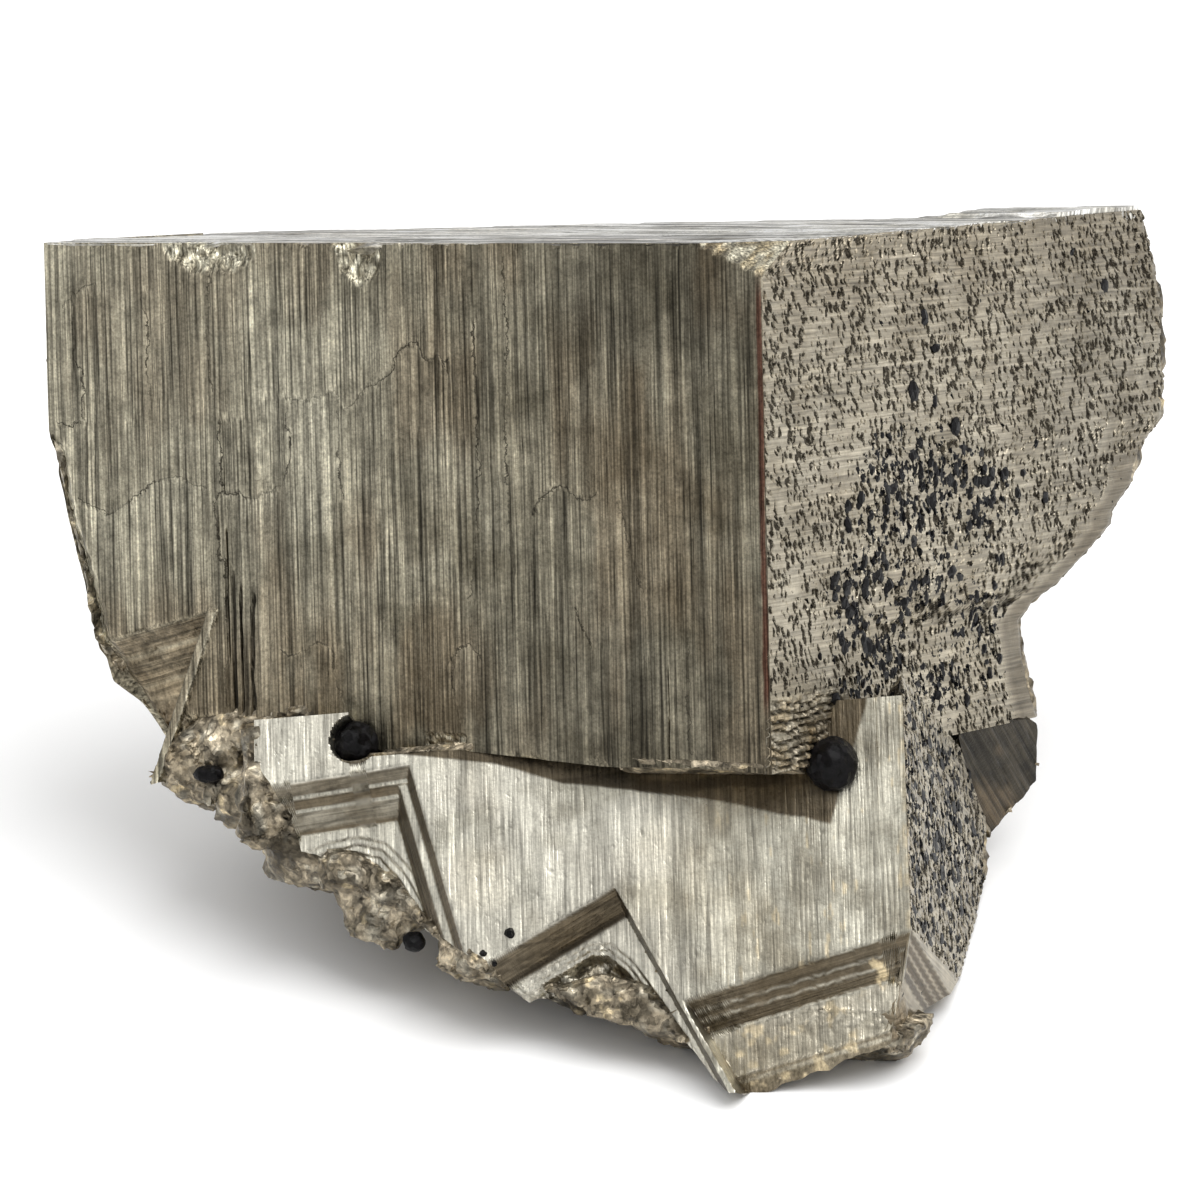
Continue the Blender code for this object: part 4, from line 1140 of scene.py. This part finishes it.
def makeSide():
    # Rows run from the front edge, cut back by the foot ledge's stairs, to the far outline.
    s, t = fractions(sideValues["columns"], sideValues["rows"])
    v = sideValues["top"] + (sideValues["bottom"] - sideValues["top"]) * t
    far = np.interp(v, *zip(*sideValues["far"]))
    near = np.interp(-18 - v, *sideValues["cutBack"])
    g = near + s * (far - near)
    depth, marks = sideDepth(g, v)
    origin = (lowerValues["right"], 0, 0)
    return crystalFace("lowerSide", lowerFrame, origin, ((0, 1, 0), (0, 0, 1), (-1, 0, 0)), g, v,
                       depth, marks, rightMaterial, inset=(6, 5))


# Dark wedge crystal under the far end of the right face

wedgeValues = {
    "columns": 97, "rows": 49,
    "origin": (-2.7, 43.8, -53.9), "low": -2.8, "width": 10.9,
    "along": (-0.142, 0.817, -0.558), "across": (0.564, 0.53, 0.633), "inward": (-0.813, 0.225, 0.536),
    "near": [(-2.8, 18.9), (-2.4, 14.0), (0.0, 0.2), (2.6, 2.2), (5.5, 4.7), (7.8, 8.0), (8.1, 9.2)],
    "far": [(-2.8, 19.6), (-1.2, 19.4), (1.4, 18.9), (4.9, 18.0), (7.8, 10.9), (8.1, 9.6)],
}


def makeWedge():
    # The wedge's flat front: rows between its near and far outlines, with strong lines along it.
    s, t = fractions(wedgeValues["columns"], wedgeValues["rows"])
    p = wedgeValues["low"] + wedgeValues["width"] * t
    near, far = np.interp(p, *zip(*wedgeValues["near"])), np.interp(p, *zip(*wedgeValues["far"]))
    q = near + s * (far - near)
    depth, lines = striations(p, q, 700, 2.0)
    depth = np.maximum(depth - 0.25, -0.5)
    marks = {"dark": np.clip(lines + 0.4 * soft(smoothRandom(p / 0.5, q / 12, 701), 0.5, 0.8), 0, 1),
             "umberAndShade": 0.5 * soft(roughRandom(p / 3, q / 8, 702), 0.4, 0.7)}
    axes = (wedgeValues["along"], wedgeValues["across"], wedgeValues["inward"])
    return crystalFace("darkWedge", blockFrame, wedgeValues["origin"], axes, q, p,
                       depth, marks, wedgeMaterial, thickness=1.0, inset=(2, 3))


# Broken rock: the CAD body, remeshed and roughened where no crystal face covers it

rockValues = {
    "bodyCell": 0.00078, "frontCell": 0.00046,
    "frontTop": -45.5, "frontBack": 20.0,
    "sunk": 0.42,             # how far it lies under the crystal faces, in millimetres
    "bodyRough": 0.55, "frontRough": 0.75, "largeFacets": 2.6,
}


def remeshed(name, cell, cuts):
    # A merged copy of the CAD body, cut by planes, as an even mesh of square cells.
    bm = bmesh.new()
    bm.from_mesh(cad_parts["pyrite"].data)
    bmesh.ops.remove_doubles(bm, verts=bm.verts[:], dist=1e-7)
    for point, normal in cuts:
        bmesh.ops.bisect_plane(bm, geom=bm.verts[:] + bm.edges[:] + bm.faces[:], dist=1e-8, plane_co=point,
                               plane_no=normal, clear_outer=True)
        bmesh.ops.holes_fill(bm, edges=[e for e in bm.edges if e.is_boundary], sides=0)
    mesh = bpy.data.meshes.new(name + "Source")
    bm.to_mesh(mesh)
    bm.free()
    source = bpy.data.objects.new(name + "Source", mesh)
    bpy.context.scene.collection.objects.link(source)
    remesh = source.modifiers.new("remesh", "REMESH")
    remesh.mode = "VOXEL"
    remesh.voxel_size = cell
    graph = bpy.context.evaluated_depsgraph_get()
    made = bpy.data.meshes.new_from_object(source.evaluated_get(graph))
    bpy.data.objects.remove(source)
    made.calc_loop_triangles()
    points = np.empty(len(made.vertices) * 3, np.float32)
    normals = np.empty(len(made.vertices) * 3, np.float32)
    triangles = np.empty(len(made.loop_triangles) * 3, np.int32)
    made.vertices.foreach_get("co", points)
    made.vertices.foreach_get("normal", normals)
    made.loop_triangles.foreach_get("vertices", triangles)
    bpy.data.meshes.remove(made)
    return points.reshape(-1, 3).astype(float), normals.reshape(-1, 3).astype(float), triangles.reshape(-1, 3)


def underFaces(points):
    # How far crystal faces cover each point, and the move in metres that takes it under them. A face's
    # share is its sheet's depth minus the point's depth, plus sunk, along the face's inward direction.
    p = placed(points, blockFrame.inverted())
    x, y, z = p.T
    h, g, v = placed(points, lowerFrame.inverted()).T
    r = p - np.array(wedgeValues["origin"])
    along, across, inward = (np.array(wedgeValues[key]) for key in ("along", "across", "inward"))
    wedgeAlong, wedgeAcross, wedgeIn = r @ along, r @ across, r @ inward
    frontEdge = np.interp(x, *zip(*frontValues["bottom"]))
    rightEdge = np.interp(z, *zip(*rightValues["far"]))
    topEdge = np.interp(y, *zip(*topValues["left"]))
    lowTop, lowBottom = np.interp(h, *zip(*lowerValues["top"])), np.interp(h, *zip(*lowerValues["bottom"]))
    sideFar = np.interp(v, *zip(*sideValues["far"]))
    wedgeNear, wedgeFar = (np.interp(wedgeAcross, *zip(*wedgeValues[key])) for key in ("near", "far"))
    block, lower = np.array(blockFrame)[:3, :3], np.array(lowerFrame)[:3, :3]
    faces = [  # the sheet's depth minus the point's, the face's outline, and its inward direction
        (frontDepth(x, z)[0] - y, soft(z - frontEdge, 0.4, 1.2) * between(x, -87.4, 2, 0.5), block[:, 1]),
        (x + rightDepth(y, z)[0], soft(rightEdge - y, 0.6, 1.8) * between(z, -54.5, 1, 0.3), -block[:, 0]),
        (z + topDepth(x, y)[0], soft(x - topEdge, 0.6, 2.0) * soft(83.0 - y, 0.3, 1.5), -block[:, 2]),
        (leftDepth(y, z)[0] - frontValues["width"] - x, between(y, 0.8, 23.8, 0.8) * between(z, -52, 1, 0.8),
         block[:, 0]),
        (lowerDepth(h, v)[0] - g,
         soft(v - lowBottom, 0.5, 1.4) * soft(lowTop - v, 0, 0.5) * soft(h + 60.0, 0, 0.8) * (h < 9),
         lower[:, 1]),
        (h - lowerValues["right"] + sideDepth(g, v)[0],
         soft(sideFar - g, 0.8, 2.0) * between(v, -27.8, 9, 0.4), -lower[:, 0]),
        (-wedgeIn - 0.2,
         between(wedgeAlong, wedgeNear + 0.4, wedgeFar - 0.4, 0.4) * between(wedgeAcross, -2.4, 7.8, 0.4),
         block @ inward),
        (np.zeros(len(x)),     # the block's lower edge has no sheet: its rock is only drawn up a little
         between(z, -54.4, -52.6, 0.3) * (1 - soft(y, 11.5, 13)) * soft(x + 50, 0, 2), block[:, 2]),
    ]
    covered, move = np.zeros(len(p)), np.zeros((len(p), 3))
    for gap, outline, direction in faces:
        weight = outline * (1 - soft(-gap, 2.4, 3.4)) * (1 - soft(gap, 4.5, 5.5))
        covered = np.maximum(covered, weight)
        move = move + (weight * np.clip(gap + rockValues["sunk"], 0.3, 4.8))[:, None] * direction
    return covered, move, p


def makeRock(name, cell, cuts, rough, seed):
    # Each point moves along its normal: in by sunk where covered, else by random facets.
    points, normals, triangles = remeshed(name, cell, cuts)
    covered, move, p = underFaces(points)
    facets = 0.75 * crumble(p, 3.6, seed) + 0.4 * crumble(p, 1.5, seed + 1)
    if not cuts:
        facets = facets + rockValues["largeFacets"] * crumble(p, 11.0, seed + 5)
    swell = 1.2 * (solidRandom(p / 2.4, seed + 2) - 0.5) + 0.7 * (solidRandom(p / 0.9, seed + 3) - 0.5)
    moved = rough * (facets + swell) - 0.1
    if cuts:
        cutDistance = np.minimum(rockValues["frontTop"] - p[:, 2], rockValues["frontBack"] - p[:, 1])
        moved = np.where(cutDistance < 0.8, -0.5, moved)
    ground = soft(points[:, 2] * 1000, 0.3, 3.0)
    shifted = points + normals * ((1 - covered) * moved * ground / 1000)[:, None] + move
    inBlock = placed(shifted, blockFrame.inverted())
    upper = inBlock[:, 2] > -50     # here the rock stays behind the block's three faces
    inBlock[upper] = np.clip(inBlock[upper], (-999, 0.1, -999), (-0.1, 999, -0.1))
    shifted = insideBox(placed(inBlock, blockFrame))
    pale = soft(solidRandom(p / 1.3, seed + 4), 0.62, 0.8) * (1 - covered) * 0.6
    leftRim = (1 - soft(np.abs(p[:, 1]), 1.5, 3.0)) * (p[:, 0] < -76) * (p[:, 2] > -52)
    pale = np.maximum(pale, leftRim * 0.35)
    return newPiece(name, shifted, triangles, {"pale": pale}, ["pyrite"], brokenMaterial, 30)


# Black crystals

gemValues = {
    "around": 72, "up": 40,
    "gems": [  # name, frame, centre, radii, seed
        ("black_left", blockFrame, (-49.4, -1.2, -52.2), (2.5, 2.5, 2.5), 31),
        ("black_right", lowerFrame, (0.7, -0.7, -0.3), (2.8, 2.8, 2.9), 32),
        ("black_hollow", blockFrame, (-67.9, -1.4, -56.0), (1.9, 1.2, 1.0), 33),
        ("black_small", blockFrame, (-41.4, -3.2, -72.2), (1.27, 1.15, 1.15), 34),
    ],
}


def ballGrid(around, up):
    # Directions on rings between two poles, and the triangles that join them.
    a, b = np.meshgrid(np.arange(around) * 2 * np.pi / around, np.linspace(0, np.pi, up + 2)[1:-1])
    ring = np.stack([np.sin(b) * np.cos(a), np.sin(b) * np.sin(a), np.cos(b)], -1).reshape(-1, 3)
    directions = np.concatenate([ring, [(0, 0, 1), (0, 0, -1)]])
    ids = np.arange(around * up).reshape(up, around)
    right = np.roll(ids, -1, 1)
    north, south = np.full(around, around * up), np.full(around, around * up + 1)
    triangles = np.concatenate([
        np.stack([ids[:-1].ravel(), ids[1:].ravel(), right[1:].ravel()], 1),
        np.stack([ids[:-1].ravel(), right[1:].ravel(), right[:-1].ravel()], 1),
        np.stack([north, ids[0], right[0]], 1),
        np.stack([ids[-1], south, right[-1]], 1),
    ])
    return directions, triangles


def facetedRadius(directions, seed, count, low, high):
    # Radius of a solid cut by random planes: the least of plane distance / cosine.
    dice = np.random.RandomState(seed)
    normals = dice.normal(size=(count, 3))
    normals /= np.linalg.norm(normals, axis=1)[:, None]
    reach = dice.uniform(low, high, count)
    cosines = directions @ normals.T
    return np.where(cosines > 0.05, reach / np.maximum(cosines, 0.05), 9).min(1)


def makeGem(name, matrix, centre, radii, seed):
    # A faceted ball: directions from the centre times the least distance of two sets of cutting planes.
    directions, triangles = ballGrid(gemValues["around"], gemValues["up"])
    radius = np.minimum(facetedRadius(directions, seed, 26, 0.87, 0.96),
                        facetedRadius(directions, seed + 50, 90, 0.92, 1.03))
    radius = np.minimum(radius, 1.0) + 0.05 * (solidRandom(directions * 3 + 20, seed) - 0.5)
    points = np.array(centre) + directions * np.minimum(radius, 1.0)[:, None] * np.array(radii)
    points = insideBox(placed(points, matrix))
    return newPiece(name + "_crystal", points, triangles, {}, [name], blackCrystal, 14)


grainValues = {
    "seed": 41, "faceGrains": 460, "sideGrains": 220,
    "lowerGrains": [(-33.5, -15.4, 0.62), (-36.4, -17.2, 0.4), (-35.2, -18.4, 0.35)],
    "clusters": [(27, -24, 6, 3), (38, -26, 6, 4), (46, -30, 5, 4), (21, -33, 4, 4), (17, -39, 4, 4),
                 (33, -37, 7, 3), (44, -42, 7, 4), (25, -44, 6, 4), (35, -48, 9, 3), (19, -47, 4, 2),
                 (30, -30, 9, 4)],     # along y, up, and how far each spreads both ways
    "single": [(33.7, -9.3, 0.9), (74.6, -7.9, 0.8), (67.0, -3.9, 0.6), (30.9, -16.6, 1.1),
               (35.6, -18.0, 0.7), (36.0, -12.5, 0.7), (40.0, -21.0, 0.9), (58.0, -24.0, 0.6),
               (60.0, -30.0, 0.7), (55.0, -27.0, 0.6)],     # along y, up, size
}


def makeGrains():
    # Small black lumps set in the pitted faces: one 36-sided lump, stretched and turned for each grain.
    dice = np.random.RandomState(grainValues["seed"])
    lump, faces = ballGrid(6, 3)
    clusters = np.array(grainValues["clusters"], float)
    pick = dice.randint(0, len(clusters), grainValues["faceGrains"])
    spots = clusters[pick, :2] + dice.normal(size=(len(pick), 2)) * clusters[pick, 2:] * 0.75
    size = 0.24 + 0.6 * dice.rand(len(pick)) ** 1.8
    single = np.array(grainValues["single"])
    spots, size = np.concatenate([spots, single[:, :2]]), np.concatenate([size, single[:, 2]])
    farEdge = np.interp(spots[:, 1], *zip(*rightValues["far"])) - 5
    keep = (spots[:, 1] > -51.5) & (spots[:, 0] > 8) & (spots[:, 0] < farEdge)
    spots, size = spots[keep], size[keep]
    middles = placed(np.stack([np.full(len(spots), -0.12), spots[:, 0], spots[:, 1]], 1), blockFrame)
    count = grainValues["sideGrains"]
    gv = np.stack([dice.uniform(1.5, 42, count), dice.uniform(-17, 7, count)], 1)
    gv = gv[gv[:, 0] < np.interp(gv[:, 1], *zip(*sideValues["far"])) - 2.5]
    sideSize = 0.26 + 0.5 * dice.rand(len(gv)) ** 1.5
    sideMiddles = np.stack([np.full(len(gv), lowerValues["right"] - 0.1), gv[:, 0], gv[:, 1]], 1)
    lone = np.array(grainValues["lowerGrains"])
    loneMiddles = np.stack([lone[:, 0], np.full(len(lone), -0.05), lone[:, 1]], 1)
    sideMiddles = placed(np.concatenate([sideMiddles, loneMiddles]), lowerFrame)
    sideSize = np.concatenate([sideSize, lone[:, 2]])
    total = len(middles) + len(sideMiddles)
    stretch = np.stack([dice.uniform(0.3, 0.5, total), dice.uniform(0.75, 1.5, total),
                        dice.uniform(0.8, 1.35, total)], 1)
    stretch[len(middles):, 1] *= 1.7
    stretch[-len(lone):] = 1.0
    sizes = np.concatenate([size, sideSize])
    lumps = lump[None] * dice.uniform(0.72, 1.12, (total, len(lump), 1))
    turn = dice.uniform(-0.6, 0.6, total)
    y = lumps[..., 1] * np.cos(turn)[:, None] - lumps[..., 2] * np.sin(turn)[:, None]
    z = lumps[..., 1] * np.sin(turn)[:, None] + lumps[..., 2] * np.cos(turn)[:, None]
    lumps = np.stack([lumps[..., 0], y, z], -1) * stretch[:, None, :] * sizes[:, None, None]
    block, lower = np.array(blockFrame)[:3, :3], np.array(lowerFrame)[:3, :3]
    shaped = np.concatenate([lumps[:len(middles)] @ block.T, lumps[len(middles):] @ lower.T])
    points = shaped + np.concatenate([middles, sideMiddles])[:, None, :]
    triangles = (faces[None] + (np.arange(total) * len(lump))[:, None, None]).reshape(-1, 3)
    points = insideBox(points.reshape(-1, 3))
    return newPiece("blackGrains", points, triangles, {}, ["pyrite"], blackCrystal, 20)


makeFront()
makeRight()
makeTop()
makeLeft()
makeLower()
makeSide()
makeWedge()
makeRock("rockBody", rockValues["bodyCell"], [], rockValues["bodyRough"], 800)
cutTop = blockFrame @ Vector((0, 0, rockValues["frontTop"]))
cutBack = blockFrame @ Vector((0, rockValues["frontBack"], 0))
turnOnly = blockFrame.to_3x3().normalized()
makeRock("rockFront", rockValues["frontCell"],
         [(cutTop, turnOnly @ Vector((0, 0, 1))), (cutBack, turnOnly @ Vector((0, 1, 0)))],
         rockValues["frontRough"], 850)
for gem in gemValues["gems"]:
    makeGem(*gem)
makeGrains()
print("pieces made")


# Floor, lights and camera

stageValues = {
    "floorSize": 6.0,
    "lens": 210.0, "sensor": 36.0,
    "azimuth": 31.5, "elevation": 24.0, "roll": 1.3,
    "distance": 0.7, "right": 0.0169, "up": 0.0353,   # from the near top corner to the picture's middle
    "skyLow": 0.42, "skyHigh": 1.15,
    "keyPower": 9.0, "keySize": 0.9,
}


def makeFloor():
    # A plain pale square under the specimen.
    half = stageValues["floorSize"] / 2
    mesh = bpy.data.meshes.new("floor")
    corners = [(-half, -half, 0), (half, -half, 0), (half, half, 0), (-half, half, 0)]
    mesh.from_pydata(corners, [], [(0, 1, 2, 3)])
    floor = bpy.data.objects.new("floor", mesh)
    bpy.context.scene.collection.objects.link(floor)
    material = bpy.data.materials.new("paleFloor")
    material.use_nodes = True
    shader = material.node_tree.nodes["Principled BSDF"]
    shader.inputs["Base Color"].default_value = (0.9, 0.9, 0.9, 1)
    shader.inputs["Roughness"].default_value = 0.9
    shader.inputs["Specular IOR Level"].default_value = 0.1
    mesh.materials.append(material)


def makeSky():
    # A soft studio: brighter overhead than at the horizon.
    world = bpy.data.worlds.new("softStudio")
    bpy.context.scene.world = world
    world.use_nodes = True
    tree = world.node_tree
    direction = tree.nodes.new("ShaderNodeTexCoord").outputs["Generated"]
    parts = tree.nodes.new("ShaderNodeSeparateXYZ")
    link(tree, direction, parts.inputs[0])
    strength = ranged(tree, parts.outputs["Z"], 0.0, 0.8, stageValues["skyLow"], stageValues["skyHigh"])
    link(tree, strength, tree.nodes["Background"].inputs["Strength"])
    tree.nodes["Background"].inputs["Color"].default_value = (1, 1, 1, 1)


def areaLight(name, place, target, size, power):
    # A square light at place that faces target.
    data = bpy.data.lights.new(name, "AREA")
    data.shape = "SQUARE"
    data.size = size
    data.energy = power
    lamp = bpy.data.objects.new(name, data)
    lamp.location = place
    lamp.rotation_euler = (Vector(target) - Vector(place)).to_track_quat("-Z", "Y").to_euler()
    bpy.context.scene.collection.objects.link(lamp)


def makeCamera():
    # The camera looks along azimuth and elevation, rolled, at a distance from the block's near top corner.
    azimuth, elevation = math.radians(stageValues["azimuth"]), math.radians(stageValues["elevation"])
    right = Vector((math.cos(azimuth), math.sin(azimuth), 0))
    level = Vector((math.sin(azimuth), -math.cos(azimuth), 0))
    up = -math.sin(elevation) * level + Vector((0, 0, math.cos(elevation)))
    toward = math.cos(elevation) * level + Vector((0, 0, math.sin(elevation)))
    roll = math.radians(stageValues["roll"])
    cameraRight = math.cos(roll) * right - math.sin(roll) * up
    cameraUp = math.sin(roll) * right + math.cos(roll) * up
    data = bpy.data.cameras.new("camera")
    data.lens = stageValues["lens"]
    data.sensor_width = stageValues["sensor"]
    data.clip_start, data.clip_end = 0.05, 20
    camera = bpy.data.objects.new("camera", data)
    turn = Matrix((cameraRight, cameraUp, toward)).transposed().to_4x4()
    target = blockCorner - stageValues["right"] * right - stageValues["up"] * up
    place = target + stageValues["distance"] * toward
    camera.matrix_world = Matrix.Translation(place) @ turn
    bpy.context.scene.collection.objects.link(camera)
    bpy.context.scene.camera = camera


makeFloor()
makeSky()
areaLight("overheadLight", (0.42, -0.06, 0.95), (0, 0, 0), stageValues["keySize"], stageValues["keyPower"])
makeCamera()
bpy.context.scene.view_settings.view_transform = "Standard"
print("stage made")
